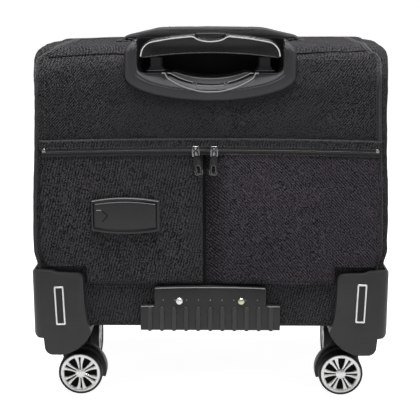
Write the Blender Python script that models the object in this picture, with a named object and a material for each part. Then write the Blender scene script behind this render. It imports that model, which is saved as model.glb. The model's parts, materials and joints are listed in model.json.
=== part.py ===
"""Soft-sided rolling laptop case on four twin-wheel spinners, in metres, with +Z up.

The origin is on the floor under the middle of the case. The back of the case, with the trolley
handle, faces -Y, and the lid at the front faces +Y. Left and right are as seen from behind.
"""

import math

import bmesh
import bpy
from mathutils import Matrix, Vector

# ---------------------------------------------------------------- driving dimensions
GAP = 0.0003  # clearance between touching pieces
HALF_WIDTH = 0.210  # over the corner housings
HALF_DEPTH = 0.118  # over the skid guard and the front pocket
HEIGHT = 0.443  # to the top of the carry handle
SIDES = {"left": -1, "right": 1}
ENDS = {"rear": -1, "front": 1}

# case body
WALL = 0.004
BODY_BOTTOM = 0.092
BODY_TOP = 0.424
BODY_BACK = -0.106
BODY_FRONT = 0.096
BODY_HALF_TOP = 0.201
BODY_HALF_BOTTOM = 0.2052
TOP_CORNER = 0.028
BOTTOM_CORNER = 0.020
BACK_ROLL = 0.025  # round between the back and the top
SIDE_ROLL = 0.005

# front lid, which folds down about the top edge of the low front wall
LID_SEAM = 0.070
LID_FRONT = 0.098
LID_BOTTOM = 0.172
LID_HINGE = Vector((0, 0.097, 0.166))
LID_ROLL = 0.008

# carry handle
STRAP_ANCHOR = 0.106
STRAP_HALF = 0.013
STRAP_THICKNESS = 0.004
STRAP_TAIL = 0.020  # how far the ends reach down inside

# trolley handle
TUBE_X = 0.062
TUBE_Y = -0.0935
TUBE_WALL = 0.0012
OUTER_TUBE = (0.022, 0.016)
MIDDLE_TUBE = (0.0186, 0.0126)
INNER_TUBE = (0.0152, 0.0092)
BEZEL_HALF = 0.097
BEZEL_BOTTOM = 0.362
BEZEL_TOP = 0.432
BEZEL_BACK = -0.113
BEZEL_FRONT = -0.077
BEZEL_UNDERSIDE = 0.380  # below this it is only a flange on the back
CUP_FLOOR = 0.398
CUP_HALF = 0.082
CUP_FRONT = -0.0805
SCOOP_FLOOR = 0.389
SCOOP_LOW = 0.3735
GRIP_HALF = 0.079
GRIP_END = 0.4105
GRIP_TOP = 0.437
GRIP_BACK = -0.111
GRIP_FRONT = -0.081
BUTTON_HALF = 0.0165
BUTTON_DEPTH = 0.0045
BUTTON_TRAVEL = 0.0025

# corner housings and casters
HOUSING_BACK = 0.116  # distance of the rear housings' outer face from the middle
HOUSING_FRONT = 0.101
HOUSING_INNER_Y = 0.046
SWIVEL_X = 0.172
SWIVEL_Y = {"rear": -0.071, "front": 0.062}
TRAIL = 0.013
REST_TURN = {"rear": 0, "front": 90}  # degrees from trailing inward: the front ones trail back
BOSS_BOTTOM = 0.060
STEM_RADIUS = 0.005
TYRE_RADIUS = 0.027
TYRE_SEGMENTS = 32
AXLE_RADIUS = 0.003
AXLE_HEIGHT = TYRE_RADIUS * math.cos(math.pi / TYRE_SEGMENTS)  # a flat facet rests on the floor
WEB_HALF = 0.008
WHEEL_INNER = 0.0086  # a wheel's inner and outer face, from the middle of its caster
WHEEL_OUTER = 0.0228
CAP_RADIUS = 0.0248

# back panel
POCKET_TOP = 0.318
POCKET_BACK = -0.111
ZIP_Z = 0.305
SLIDER_HALF = 0.0045
SLIDER_PLATE = 0.0018
BAIL_REACH = 0.0032
BAR = 0.0012  # thickness of the bail and of the pull
GUARD_BACK = -0.1145
GUARD_TOP = 0.1445
GUARD_STEP = 0.121
GUARD_BOTTOM = 0.090
RIVET = (0.0364, 0.127)  # distance from the middle, and height


# ---------------------------------------------------------------- materials
def material(name, colour, roughness, metallic=0.0):
    made = bpy.data.materials.new(name)
    made.use_nodes = True
    shader = made.node_tree.nodes["Principled BSDF"]
    shader.inputs["Base Color"].default_value = (*colour, 1)
    shader.inputs["Roughness"].default_value = roughness
    shader.inputs["Metallic"].default_value = metallic
    return made


def make_materials():
    return {
        "fabric": material("fabric", (0.022, 0.022, 0.023), 0.9),
        "lining": material("lining", (0.03, 0.03, 0.032), 0.8),
        "board": material("board", (0.05, 0.05, 0.05), 0.7),
        "housing": material("housing", (0.045, 0.045, 0.047), 0.5),
        "guard": material("guard", (0.058, 0.055, 0.056), 0.55),
        "bezel": material("bezel", (0.028, 0.028, 0.03), 0.4),
        "grip": material("grip", (0.018, 0.018, 0.019), 0.35),
        "bright": material("bright", (0.6, 0.6, 0.59), 0.25, 1.0),
        "tube": material("tube", (0.03, 0.03, 0.032), 0.3, 0.9),
        "tyre": material("tyre", (0.012, 0.012, 0.012), 0.7),
        "cap": material("cap", (0.33, 0.33, 0.32), 0.35, 0.6),
        "zip": material("zip", (0.02, 0.02, 0.02), 0.4, 0.5),
        "webbing": material("webbing", (0.016, 0.016, 0.017), 0.85),
        "card": material("card", (0.5, 0.5, 0.48), 0.8),
    }


# ---------------------------------------------------------------- mesh helpers
def arc(centre_x, centre_z, radius, start, end, steps, radius_z=None):
    """Points along an arc or ellipse from start to end, in degrees."""
    radius_z = radius if radius_z is None else radius_z
    turns = [math.radians(start + (end - start) * i / steps) for i in range(steps + 1)]
    return [(centre_x + radius * math.cos(a), centre_z + radius_z * math.sin(a)) for a in turns]


def mirrored(points, side):
    return [(side * x, z) for x, z in points]


def finish_mesh(name, bm, paint, sharp=35):
    """Links a new object for the mesh, with its faces pointing out."""
    bmesh.ops.recalc_face_normals(bm, faces=bm.faces)
    mesh = bpy.data.meshes.new(name)
    bm.to_mesh(mesh)
    bm.free()
    mesh.shade_smooth()
    mesh.set_sharp_from_angle(angle=math.radians(sharp))
    made = bpy.data.objects.new(name, mesh)
    bpy.context.scene.collection.objects.link(made)
    if paint is not None:
        mesh.materials.append(paint)
    return made


def loft(name, sections, paint=None):
    """A closed solid through sections of equal point count, each a list of (x, y, z) points."""
    bm = bmesh.new()
    rings = [[bm.verts.new(p) for p in section] for section in sections]
    count = len(rings[0])
    for near, far in zip(rings, rings[1:]):
        for i in range(count):
            j = (i + 1) % count
            bm.faces.new((near[i], near[j], far[j], far[i]))
    bm.faces.new(rings[0])
    bm.faces.new(rings[-1])
    return finish_mesh(name, bm, paint)


def prism(name, outline, y_low, y_high, paint=None):
    """An outline in X and Z, extruded along Y."""
    return loft(name, [[(x, y, z) for x, z in outline] for y in (y_low, y_high)], paint)


def box(name, low, high, paint=None):
    outline = [(low[0], low[2]), (high[0], low[2]), (high[0], high[2]), (low[0], high[2])]
    return prism(name, outline, low[1], high[1], paint)


def lathe(name, profile, segments, paint=None, axis="Z", centre=(0, 0, 0), closed=True):
    """Turns a profile of (radius, height) points about an axis, with a flat facet facing down.

    A closed profile makes a ring. An open one starts and ends on the axis.
    """
    bm = bmesh.new()
    rings = []
    for step in range(segments):
        turn = 2 * math.pi * (step + 0.5) / segments
        ring = []
        for radius, height in profile:
            if radius == 0 and step:
                ring.append(rings[0][len(ring)])
                continue
            across = (radius * math.sin(turn), -radius * math.cos(turn))
            point = (across[0], height, across[1]) if axis == "Y" else (*across, height)
            ring.append(bm.verts.new(Vector(point) + Vector(centre)))
        rings.append(ring)
    count = len(profile)
    for step in range(segments):
        near = rings[step]
        far = rings[(step + 1) % segments]
        for i in range(count if closed else count - 1):
            j = (i + 1) % count
            corners = dict.fromkeys((near[i], near[j], far[j], far[i]))
            if len(corners) > 2:
                bm.faces.new(list(corners))
    return finish_mesh(name, bm, paint)


def bevel(target, width, segments=2, angle=40):
    rounding = target.modifiers.new("Bevel", "BEVEL")
    rounding.width = width
    rounding.segments = segments
    rounding.limit_method = "ANGLE"
    rounding.angle_limit = math.radians(angle)
    return target


def combine(target, other, operation="DIFFERENCE"):
    """Cuts, or joins, the other object, which is then kept as a hidden guide."""
    change = target.modifiers.new(operation.title(), "BOOLEAN")
    change.operation = operation
    change.solver = "EXACT"
    change.object = other
    other.hide_render = True
    other.display_type = "WIRE"
    return target


def put_origin(target, point):
    """Moves an object's origin to a point on its joint's axis, leaving the shape where it is."""
    target.data.transform(Matrix.Translation(-Vector(point)))
    target.location = point
    return target


def pivot(name, point):
    """An empty on a joint's axis, which carries the pieces that move together."""
    made = bpy.data.objects.new(name, None)
    made.location = point
    bpy.context.scene.collection.objects.link(made)
    return made


# ---------------------------------------------------------------- case body
def case_half_width(z):
    share = (z - BODY_BOTTOM) / (BODY_TOP - BODY_BOTTOM)
    return BODY_HALF_BOTTOM + share * (BODY_HALF_TOP - BODY_HALF_BOTTOM)


def case_outline(side_inset, top_inset, low, low_corner, steps=5):
    """The case's cross-section, pulled in from its full size by the insets."""
    high = BODY_TOP - top_inset
    top_radius = max(TOP_CORNER - side_inset, 0.004)
    top_x = case_half_width(high) - side_inset - top_radius
    low_x = case_half_width(low) - side_inset - low_corner
    return (
        arc(top_x, high - top_radius, top_radius, 0, 90, steps)
        + arc(-top_x, high - top_radius, top_radius, 90, 180, steps)
        + arc(-low_x, low + low_corner, low_corner, 180, 270, steps)
        + arc(low_x, low + low_corner, low_corner, 270, 360, steps)
    )


def roll_inset(depth, radius):
    """How far a quarter-round edge pulls in at a depth from the face that it starts on."""
    if depth >= radius:
        return 0.0
    return radius - math.sqrt(radius**2 - (radius - depth) ** 2)


def case_solid(name, offset, front, paint=None):
    """The case body as one block, smaller all round by the offset, from its back to front."""
    back_roll = BACK_ROLL - offset
    side_roll = max(SIDE_ROLL - offset, 0.0005)
    sections = []
    for turn in (0, 22.5, 45, 67.5, 90):
        depth = back_roll * (1 - math.cos(math.radians(turn)))
        side = offset + roll_inset(depth, side_roll)
        top = offset + roll_inset(depth, back_roll)
        outline = case_outline(side, top, BODY_BOTTOM + side, BOTTOM_CORNER - offset)
        sections.append([(x, BODY_BACK + offset + depth, z) for x, z in outline])
    last = case_outline(offset, offset, BODY_BOTTOM + offset, BOTTOM_CORNER - offset)
    sections.append([(x, front, z) for x, z in last])
    return loft(name, sections, paint)


def bezel_outline(growth=0.0):
    """The bezel as seen from behind: an elliptical lower edge and rounded shoulders."""
    half = BEZEL_HALF + growth
    shoulder = 0.020
    return (
        arc(half - shoulder, BEZEL_TOP + growth - shoulder, shoulder, 0, 90, 5)
        + arc(shoulder - half, BEZEL_TOP + growth - shoulder, shoulder, 90, 180, 5)
        + arc(0, 0.390, half, 180, 360, 16, radius_z=0.390 - BEZEL_BOTTOM + growth)
    )


def make_body_shell(paint):
    """Boarded walls with an open front, a notch for the bezel and slots for the strap's ends."""
    shell = case_solid("body_shell", 0.0, BODY_FRONT, paint["fabric"])
    combine(shell, box("cut_lid_space", (-0.3, LID_SEAM, LID_HINGE.z), (0.3, 0.2, 0.6)))
    combine(shell, case_solid("cut_cavity", WALL, BODY_FRONT - WALL))
    notch = prism("cut_bezel_notch", bezel_outline(0.0004), -0.2, BEZEL_FRONT + 0.0004)
    under = (0.3, BEZEL_FRONT + 0.01, BEZEL_UNDERSIDE - 0.0004)
    combine(notch, box("cut_notch_floor", (-0.3, -0.3, 0.3), under))
    combine(shell, notch)
    for side, sign in SIDES.items():
        low = (sign * STRAP_ANCHOR - 0.0026, -STRAP_HALF - 0.0006, BODY_TOP - 0.01)
        high = (sign * STRAP_ANCHOR + 0.0026, STRAP_HALF + 0.0006, BODY_TOP + 0.01)
        combine(shell, box(f"cut_strap_slot_{side}", low, high))
    return shell


def make_front_lid(paint):
    """A shallow tray that closes the front, hinged along its lower edge."""
    low_corner = 0.006
    sections = []
    for turn in (None, 0, 45, 90):
        edge = 0 if turn is None else LID_ROLL * (1 - math.cos(math.radians(turn)))
        reach = LID_ROLL if turn is None else LID_ROLL * (1 - math.sin(math.radians(turn)))
        y = LID_SEAM + GAP if turn is None else LID_FRONT - reach
        outline = case_outline(edge, edge, LID_BOTTOM + edge, low_corner)
        sections.append([(x, y, z) for x, z in outline])
    lid = loft("front_lid", sections, paint["fabric"])
    inside = case_outline(WALL, WALL, LID_BOTTOM + WALL, 0.004)
    combine(lid, prism("cut_lid_tray", inside, LID_SEAM - 0.01, LID_FRONT - WALL))
    return put_origin(lid, LID_HINGE)


def make_front_pocket(paint):
    """A flat organiser pocket on the lid, with rounded edges."""
    half, low, high, corner, roll = 0.165, 0.188, 0.390, 0.022, 0.009
    sections = []
    for turn in (None, 0, 45, 90):
        edge = 0 if turn is None else roll * (1 - math.cos(math.radians(turn)))
        reach = roll if turn is None else roll * (1 - math.sin(math.radians(turn)))
        y = LID_FRONT + GAP if turn is None else HALF_DEPTH - reach
        x_mid, radius = half - corner, corner - edge
        outline = []
        for sign, z, start in ((1, high, 0), (-1, high, 90), (-1, low, 180), (1, low, 270)):
            z_mid = z - corner if z == high else z + corner
            outline += arc(sign * x_mid, z_mid, radius, start, start + 90, 3)
        sections.append([(x, y, z) for x, z in outline])
    return put_origin(loft("front_pocket", sections, paint["fabric"]), LID_HINGE)


def make_inner_boards(paint):
    """The floor board, and the padded partition in front of the laptop slot."""
    floor_top = BODY_BOTTOM + WALL + 0.0033
    box("base_board", (-0.184, -0.098, floor_top - 0.003), (0.184, 0.088, floor_top), paint["board"])
    low = (-0.186, -0.052, floor_top + GAP)
    divider = box("laptop_divider", low, (0.186, -0.044, 0.345), paint["lining"])
    bevel(divider, 0.003)


# ---------------------------------------------------------------- carry handle
def make_carry_handle(paint):
    """A low strap on a spring strip. Its ends slide in slots in the top as it is lifted."""
    inner = STRAP_ANCHOR - STRAP_THICKNESS / 2
    outer = STRAP_ANCHOR + STRAP_THICKNESS / 2
    foot = BODY_TOP - STRAP_TAIL
    under = HEIGHT - STRAP_THICKNESS
    right = [(outer, foot), (outer, BODY_TOP + 0.003), (0.098, BODY_TOP + 0.0085), (0.058, HEIGHT)]
    back = [(0.057, under), (0.096, BODY_TOP + 0.0045), (inner, BODY_TOP + 0.001), (inner, foot)]
    outline = right + mirrored(right[::-1], -1) + mirrored(back[::-1], -1) + back
    return prism("carry_handle", outline, -STRAP_HALF, STRAP_HALF, paint["webbing"])


# ---------------------------------------------------------------- trolley handle
def make_tube(name, size, centre_x, low, high, paint):
    """A rectangular tube, open at both ends."""
    half_x, half_y = size[0] / 2, size[1] / 2
    corner = 0.002
    loops = []
    for inset in (0.0, TUBE_WALL):
        radius = corner - inset if inset == 0.0 else 0.0008
        loop = []
        for sign_x, sign_y, start in ((1, 1, 0), (-1, 1, 90), (-1, -1, 180), (1, -1, 270)):
            x_mid = sign_x * (half_x - inset - radius)
            y_mid = sign_y * (half_y - inset - radius)
            loop += arc(centre_x + x_mid, TUBE_Y + y_mid, radius, start, start + 90, 1)
        loops.append(loop)
    bm = bmesh.new()
    rings = []
    for loop, z in ((loops[0], low), (loops[0], high), (loops[1], high), (loops[1], low)):
        rings.append([bm.verts.new((x, y, z)) for x, y in loop])
    count = len(rings[0])
    for near, far in zip(rings, rings[1:] + rings[:1]):
        for i in range(count):
            j = (i + 1) % count
            bm.faces.new((near[i], near[j], far[j], far[i]))
    return finish_mesh(name, bm, paint)


def make_tubes(paint):
    """Three stages on each side. The outer ones are fixed between the bezel and the foot."""
    for side, sign in SIDES.items():
        x = sign * TUBE_X
        make_tube(f"outer_tube_{side}", OUTER_TUBE, x, 0.104, BEZEL_UNDERSIDE - GAP, paint["tube"])
        middle = make_tube(f"middle_tube_{side}", MIDDLE_TUBE, x, 0.110, 0.3995, paint["tube"])
        inner = make_tube(f"inner_tube_{side}", INNER_TUBE, x, 0.116, GRIP_END - GAP, paint["tube"])
        put_origin(middle, (x, TUBE_Y, CUP_FLOOR))
        put_origin(inner, (x, TUBE_Y, CUP_FLOOR))
    low = (-0.078, TUBE_Y - 0.008, 0.0997)
    foot = box("tube_foot_bracket", low, (0.078, TUBE_Y + 0.008, 0.1037), paint["board"])
    bevel(foot, 0.0008, segments=1)


def scoop_section(y, half, low):
    """A half ellipse that opens upwards, for the finger scoop."""
    top = [(half, BEZEL_TOP + 0.02), (-half, BEZEL_TOP + 0.02)]
    lower = arc(0, CUP_FLOOR + 0.0005, half, 180, 360, 12, radius_z=CUP_FLOOR + 0.0005 - low)
    return [(x, y, z) for x, z in top + lower]


def make_handle_bezel(paint):
    """The moulded ring and cup that the grip stows in, with a scoop for the fingers."""
    bezel = prism("handle_bezel", bezel_outline(), BEZEL_BACK, BEZEL_FRONT, paint["bezel"])
    bevel(bezel, 0.0025, segments=2)
    low = (-0.3, BODY_BACK - GAP, BEZEL_BOTTOM - 0.05)
    combine(bezel, box("cut_under_bezel", low, (0.3, 0.0, BEZEL_UNDERSIDE)))
    cup = box("cut_cup", (-CUP_HALF, -0.2, CUP_FLOOR), (CUP_HALF, CUP_FRONT, 0.6))
    combine(bezel, bevel(cup, 0.006, segments=3))
    sections = [
        scoop_section(-0.125, 0.0515, SCOOP_LOW - 0.007),
        scoop_section(BEZEL_BACK, 0.048, SCOOP_LOW),
        scoop_section(-0.100, 0.038, SCOOP_FLOOR),
        scoop_section(CUP_FRONT - 0.0002, 0.038, SCOOP_FLOOR),
    ]
    combine(bezel, loft("cut_scoop", sections))
    for side, sign in SIDES.items():
        half_x, half_y = MIDDLE_TUBE[0] / 2 + 0.0005, MIDDLE_TUBE[1] / 2 + 0.0005
        low = (sign * TUBE_X - half_x, TUBE_Y - half_y, 0.36)
        high = (sign * TUBE_X + half_x, TUBE_Y + half_y, CUP_FLOOR + 0.01)
        combine(bezel, box(f"cut_collar_{side}", low, high))
    return bezel


def grip_top_edge(inset=0.0):
    """The grip's arched top, from the left end to the right, as (x, z)."""
    left = arc(-GRIP_HALF + 0.016, GRIP_TOP - 0.0225, 0.016 - inset, 180, 100, 5)
    crown = [(-0.044, 0.4337 - inset), (-0.022, 0.4360 - inset), (0.0, GRIP_TOP - inset)]
    half = left + crown
    return half + mirrored(half[-2::-1], -1)


def make_grip(paint):
    """The hand grip, its bright edge line, and the push button in its top."""
    grip_origin = (0, (GRIP_BACK + GRIP_FRONT) / 2, GRIP_TOP)
    lower = [(GRIP_HALF, GRIP_END), (0.074, GRIP_END), (0.045, 0.4138), (0.0, 0.4156)]
    outline = grip_top_edge()[::-1] + mirrored(lower, -1) + lower[-2::-1]
    grip = prism("handle_grip", outline, GRIP_BACK, GRIP_FRONT, paint["grip"])
    bevel(grip, 0.003, segments=2, angle=50)
    well_z, well_half = GRIP_TOP - BUTTON_TRAVEL - 0.0002, BUTTON_HALF + 0.0004
    well = arc(0, well_z, well_half, 180, 360, 10, radius_z=BUTTON_DEPTH + 0.0003)
    well += [(well_half, 0.46), (-well_half, 0.46)]
    combine(grip, prism("cut_button_well", well, GRIP_BACK - 0.01, GRIP_FRONT - 0.006))
    put_origin(grip, grip_origin)

    button_outline = arc(0, GRIP_TOP, BUTTON_HALF, 180, 360, 10, radius_z=BUTTON_DEPTH)
    button_outline += [(0.008, GRIP_TOP + 0.0006), (-0.008, GRIP_TOP + 0.0006)]
    button = prism("grip_button", button_outline, GRIP_BACK + 0.0006, GRIP_FRONT - 0.0066, paint["grip"])
    put_origin(button, (0, grip_origin[1], GRIP_TOP))

    trim = prism("grip_trim", trim_outline(), GRIP_BACK - 0.0013, GRIP_BACK - GAP, paint["bright"])
    put_origin(trim, grip_origin)


def trim_outline():
    """A thin band under the grip's top edge, which dips round the push button."""
    bands = []
    for inset, start, growth in ((0.0012, 190, 0.0), (0.0030, 205, 0.0018)):
        edge = [p for p in grip_top_edge(inset) if abs(p[0]) > BUTTON_HALF + 0.003]
        half_dip = BUTTON_HALF + 0.0012 + growth
        dip = 0.0060 + growth
        bowl = arc(0, GRIP_TOP - 0.0018, half_dip, start, 540 - start, 10, radius_z=dip)
        middle = len(edge) // 2
        bands.append(edge[:middle] + bowl + edge[middle:])
    low_ends = [(-GRIP_HALF + 0.0012, GRIP_END + 0.001), (-GRIP_HALF + 0.0030, GRIP_END + 0.001)]
    outer = [low_ends[0]] + bands[0] + mirrored([low_ends[0]], -1)
    inner = [low_ends[1]] + bands[1] + mirrored([low_ends[1]], -1)
    return outer + inner[::-1]


# ---------------------------------------------------------------- corner housings
def housing_outline(side):
    """A corner housing seen from behind: a tall face, a low outer lobe and the caster boss."""
    inner_edge = [(0.1485, 0.125), (0.1460, 0.102), (0.1410, 0.088)]
    boss = [(0.1475, 0.077), (0.158, 0.067), (0.170, 0.0610), (0.178, BOSS_BOTTOM)]
    boss += arc(0.187, BOSS_BOTTOM + 0.010, 0.010, 270, 350, 3)
    lobe = [(0.198, 0.081)] + arc(HALF_WIDTH - 0.008, 0.089, 0.008, 270, 360, 3)
    top = [(HALF_WIDTH, 0.164), (0.1580, 0.1598)] + arc(0.1570, 0.1520, 0.0078, 110, 180, 3)
    return mirrored(inner_edge + boss + lobe + top, side)


def make_housing(end, side, paint):
    """A moulded corner, cut to sit on the case body, with a blind bore for the caster's stem."""
    name = f"corner_housing_{end}_{side}"
    sign_y, sign_x = ENDS[end], SIDES[side]
    face = HOUSING_BACK if end == "rear" else HOUSING_FRONT
    faces = sorted((sign_y * HOUSING_INNER_Y, sign_y * face))
    housing = prism(name, housing_outline(sign_x), *faces, paint["housing"])
    corner = prism(f"cut_corner_{end}_{side}", corner_waste(sign_x, sign_y, face), 0.0, 0.3)
    corner.rotation_euler = (math.pi / 2, 0, 0)
    corner.location = (0, 0, 0.3)
    combine(housing, corner)
    bevel(housing, 0.0022, segments=2, angle=38)
    combine(housing, bpy.data.objects["cut_body_space"])
    bore = [(0, -0.02), (STEM_RADIUS + 0.0004, -0.02), (STEM_RADIUS + 0.0004, 0.018), (0, 0.018)]
    centre = (sign_x * SWIVEL_X, SWIVEL_Y[end], BOSS_BOTTOM)
    combine(housing, lathe(f"cut_stem_{end}_{side}", bore, 16, centre=centre, closed=False))
    return housing


def corner_waste(sign_x, sign_y, face):
    """In plan, what lies outside the rounded vertical corner of a housing."""
    radius = 0.012
    x_mid, y_mid = HALF_WIDTH - radius, face - radius
    rounded = arc(x_mid, y_mid, radius, 0, 90, 5)
    outside = [(x_mid, face + 0.01), (HALF_WIDTH + 0.01, face + 0.01), (HALF_WIDTH + 0.01, y_mid)]
    return [(sign_x * x, sign_y * y) for x, y in rounded + outside]


def make_corner_trims(paint):
    """A bright rectangular frame on each rear housing, leaning a little outwards."""
    half_x, half_z, border = 0.0064, 0.0240, 0.0020
    for side, sign in SIDES.items():
        name = f"corner_trim_{side}"
        frame = box(name, (-half_x, -0.0010, -half_z), (half_x, 0, half_z), paint["bright"])
        low = (border - half_x, -0.01, border - half_z)
        high = (half_x - border, 0.01, half_z - border)
        window = box(f"cut_{name}", low, high)
        for piece in (frame, window):
            piece.location = (sign * 0.1785, -HOUSING_BACK - GAP, 0.124)
            piece.rotation_euler = (0, sign * math.radians(1.8), 0)
        combine(frame, window)


# ---------------------------------------------------------------- casters
def fork_outline(sign):
    """The fork's web seen along its axle: a hood over the wheels and a neck to the swivel."""
    hood = arc(TRAIL, AXLE_HEIGHT, TYRE_RADIUS + 0.004, -20, 118, 10)
    neck = [(-0.0105, 0.0560), (-0.0115, 0.0490), (-0.0040, 0.0360)]
    seat = arc(TRAIL, AXLE_HEIGHT, 0.0095, 190, 320, 4)
    return mirrored(hood + neck + seat, sign)


def make_caster(end, side, paint):
    """A fork that swivels on its stem, with an axle and two independent wheels."""
    sign_x = SIDES[side]
    trail = -sign_x * TRAIL
    swivel = Vector((sign_x * SWIVEL_X, SWIVEL_Y[end], 0))
    tag = f"{end}_{side}"
    holder = pivot(f"swivel_{tag}", swivel)
    holder.rotation_euler.z = sign_x * math.radians(REST_TURN[end])

    fork = prism(f"caster_fork_{tag}", fork_outline(-sign_x), -WEB_HALF, WEB_HALF, paint["grip"])
    bevel(fork, 0.001, segments=1)
    head_top = BOSS_BOTTOM - 0.0006
    head = [(0, 0.0545), (0.0155, 0.0545), (0.0165, 0.0553), (0.0165, head_top - 0.001)]
    head += [(0.0155, head_top), (STEM_RADIUS, head_top), (STEM_RADIUS, 0.0745), (0, 0.0745)]
    head_piece = lathe(f"join_head_{tag}", head, 20, closed=False)
    combine(fork, head_piece, "UNION")
    bore = [(0, -0.03), (AXLE_RADIUS + GAP, -0.03), (AXLE_RADIUS + GAP, 0.03), (0, 0.03)]
    axle_centre = (trail, 0, AXLE_HEIGHT)
    hole = lathe(f"cut_axle_{tag}", bore, 16, axis="Y", centre=axle_centre, closed=False)
    combine(fork, hole)
    end_y = 0.0190
    rod = [(0, -end_y), (AXLE_RADIUS, -end_y), (AXLE_RADIUS, end_y), (0, end_y)]
    axle = lathe(f"wheel_axle_{tag}", rod, 16, paint["bright"], "Y", axle_centre, closed=False)
    for piece in (fork, head_piece, hole, axle):
        piece.parent = holder

    for place, sign_y in (("outer", -1), ("inner", 1)):
        make_wheel(f"{tag}_{place}", sign_y, holder, trail, paint)


def make_wheel(tag, sign_y, holder, trail, paint):
    """A tyre with its spoked cap. Both turn about the axle, along Y before the caster is turned."""
    rim = CAP_RADIUS + 0.0004
    tyre_profile = [
        (AXLE_RADIUS + GAP, WHEEL_INNER),
        (TYRE_RADIUS - 0.0016, WHEEL_INNER),
        (TYRE_RADIUS, WHEEL_INNER + 0.0016),
        (TYRE_RADIUS, WHEEL_OUTER - 0.0026),
        (rim + 0.0004, WHEEL_OUTER - 0.0006),
        (rim, WHEEL_OUTER - 0.0006),
        (rim, WHEEL_OUTER - 0.0033),
        (AXLE_RADIUS + GAP, WHEEL_OUTER - 0.0033),
    ]
    tyre_profile = [(r, sign_y * y) for r, y in tyre_profile]
    tyre = lathe(f"tyre_{tag}", tyre_profile, TYRE_SEGMENTS, paint["tyre"], "Y")
    cap_profile = [
        (0, WHEEL_OUTER - 0.0030),
        (CAP_RADIUS, WHEEL_OUTER - 0.0030),
        (CAP_RADIUS, WHEEL_OUTER - 0.0004),
        (0.0206, WHEEL_OUTER),
        (0.0070, WHEEL_OUTER - 0.0010),
        (0, WHEEL_OUTER - 0.0004),
    ]
    cap_profile = [(r, sign_y * y) for r, y in cap_profile]
    cap = lathe(f"hub_cap_{tag}", cap_profile, 36, paint["cap"], "Y", closed=False)
    windows = window_cutters(f"cut_windows_{tag}")
    combine(cap, windows)
    for piece in (tyre, cap, windows):
        piece.parent = holder
        piece.location = (trail, 0, AXLE_HEIGHT)


def window_cutters(name):
    """Six rounded wedge prisms for the openings between the spokes."""
    bm = bmesh.new()
    for window in range(6):
        middle = math.radians(60 * window + 30)
        corners = [(0.0106, 9), (0.0193, 17), (0.0200, 8), (0.0200, -8), (0.0193, -17), (0.0106, -9)]
        rings = []
        for y in (-0.04, 0.04):
            ring = []
            for radius, turn in corners:
                angle = middle + math.radians(turn)
                ring.append(bm.verts.new((radius * math.sin(angle), y, radius * math.cos(angle))))
            rings.append(ring)
        count = len(corners)
        for i in range(count):
            j = (i + 1) % count
            bm.faces.new((rings[0][i], rings[0][j], rings[1][j], rings[1][i]))
        bm.faces.new(rings[0])
        bm.faces.new(rings[1])
    return finish_mesh(name, bm, None)


# ---------------------------------------------------------------- back panel
def make_rear_pocket(paint):
    """The large flat pocket on the back, narrower between the corner housings."""
    wide, narrow, step, low, corner = 0.196, 0.146, 0.167, 0.1465, 0.006
    right = [(narrow, low), (narrow, step), (wide, step)]
    right += arc(wide - corner, POCKET_TOP - corner, corner, 0, 90, 3)
    outline = right + mirrored(right[::-1], -1)
    panel = prism("rear_pocket_panel", outline, POCKET_BACK, BODY_BACK - GAP, paint["fabric"])
    return bevel(panel, 0.0015, segments=1)


def make_rear_zip(paint):
    """The closed zip across the pocket: its tape, two sliders and their hanging pulls."""
    tape_back = POCKET_BACK - 0.0013
    half = 0.190
    low, high = (-half, tape_back, ZIP_Z - 0.0045), (half, POCKET_BACK - GAP, ZIP_Z + 0.0045)
    box("rear_zip_tape", low, high, paint["zip"])
    for side, x in (("left", -0.0165), ("right", 0.0045)):
        make_slider(f"rear_zip_slider_{side}", x, tape_back - GAP, paint["zip"])
        make_pull(f"rear_zip_pull_{side}", x, tape_back - GAP, paint["zip"])


def make_slider(name, x, base_y, paint):
    """A zip slider: a plate, and a bail that stands off it for the pull."""
    plate_y = base_y - SLIDER_PLATE
    outline = [(-SLIDER_HALF, -0.006), (SLIDER_HALF, -0.006), (0.0036, 0.006), (-0.0036, 0.006)]
    slider = prism(name, [(x + u, ZIP_Z + w) for u, w in outline], plate_y, base_y, paint)
    leg, width, reach = 0.0042, 0.0008, plate_y - BAIL_REACH
    low, high = (x - width, reach, ZIP_Z - leg), (x + width, plate_y + 0.0006, ZIP_Z + leg)
    bail = box(f"join_bail_{name}", low, high)
    low = (x - 0.01, reach + BAR, ZIP_Z - leg + BAR)
    high = (x + 0.01, plate_y, ZIP_Z + leg - BAR)
    combine(bail, box(f"cut_bail_{name}", low, high))
    combine(slider, bail, "UNION")
    return put_origin(slider, (x, base_y, ZIP_Z))


def make_pull(name, x, base_y, paint):
    """A hanging pull, linked through the slider's bail, with a rectangular hole at its end."""
    axis_y = base_y - SLIDER_PLATE - (BAIL_REACH - BAR) / 2
    half, length, eye, thick = 0.0040, 0.0270, 0.0058, BAR / 2
    pull = prism(
        name,
        [(x - half, thick), (x - half, -length), (x + half, -length), (x + half, thick)],
        -thick,
        thick,
        paint,
    )
    link = box(f"cut_eye_{name}", (x - 0.0026, -0.01, -eye), (x + 0.0026, 0.01, -thick))
    hole = box(f"cut_hole_{name}", (x - 0.002, -0.01, -0.0245), (x + 0.002, 0.01, -0.0165))
    for piece in (pull, link, hole):
        put_origin(piece, (x, 0, 0))
        piece.location = (x, axis_y, ZIP_Z)
    combine(pull, link)
    return combine(pull, hole)


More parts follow.
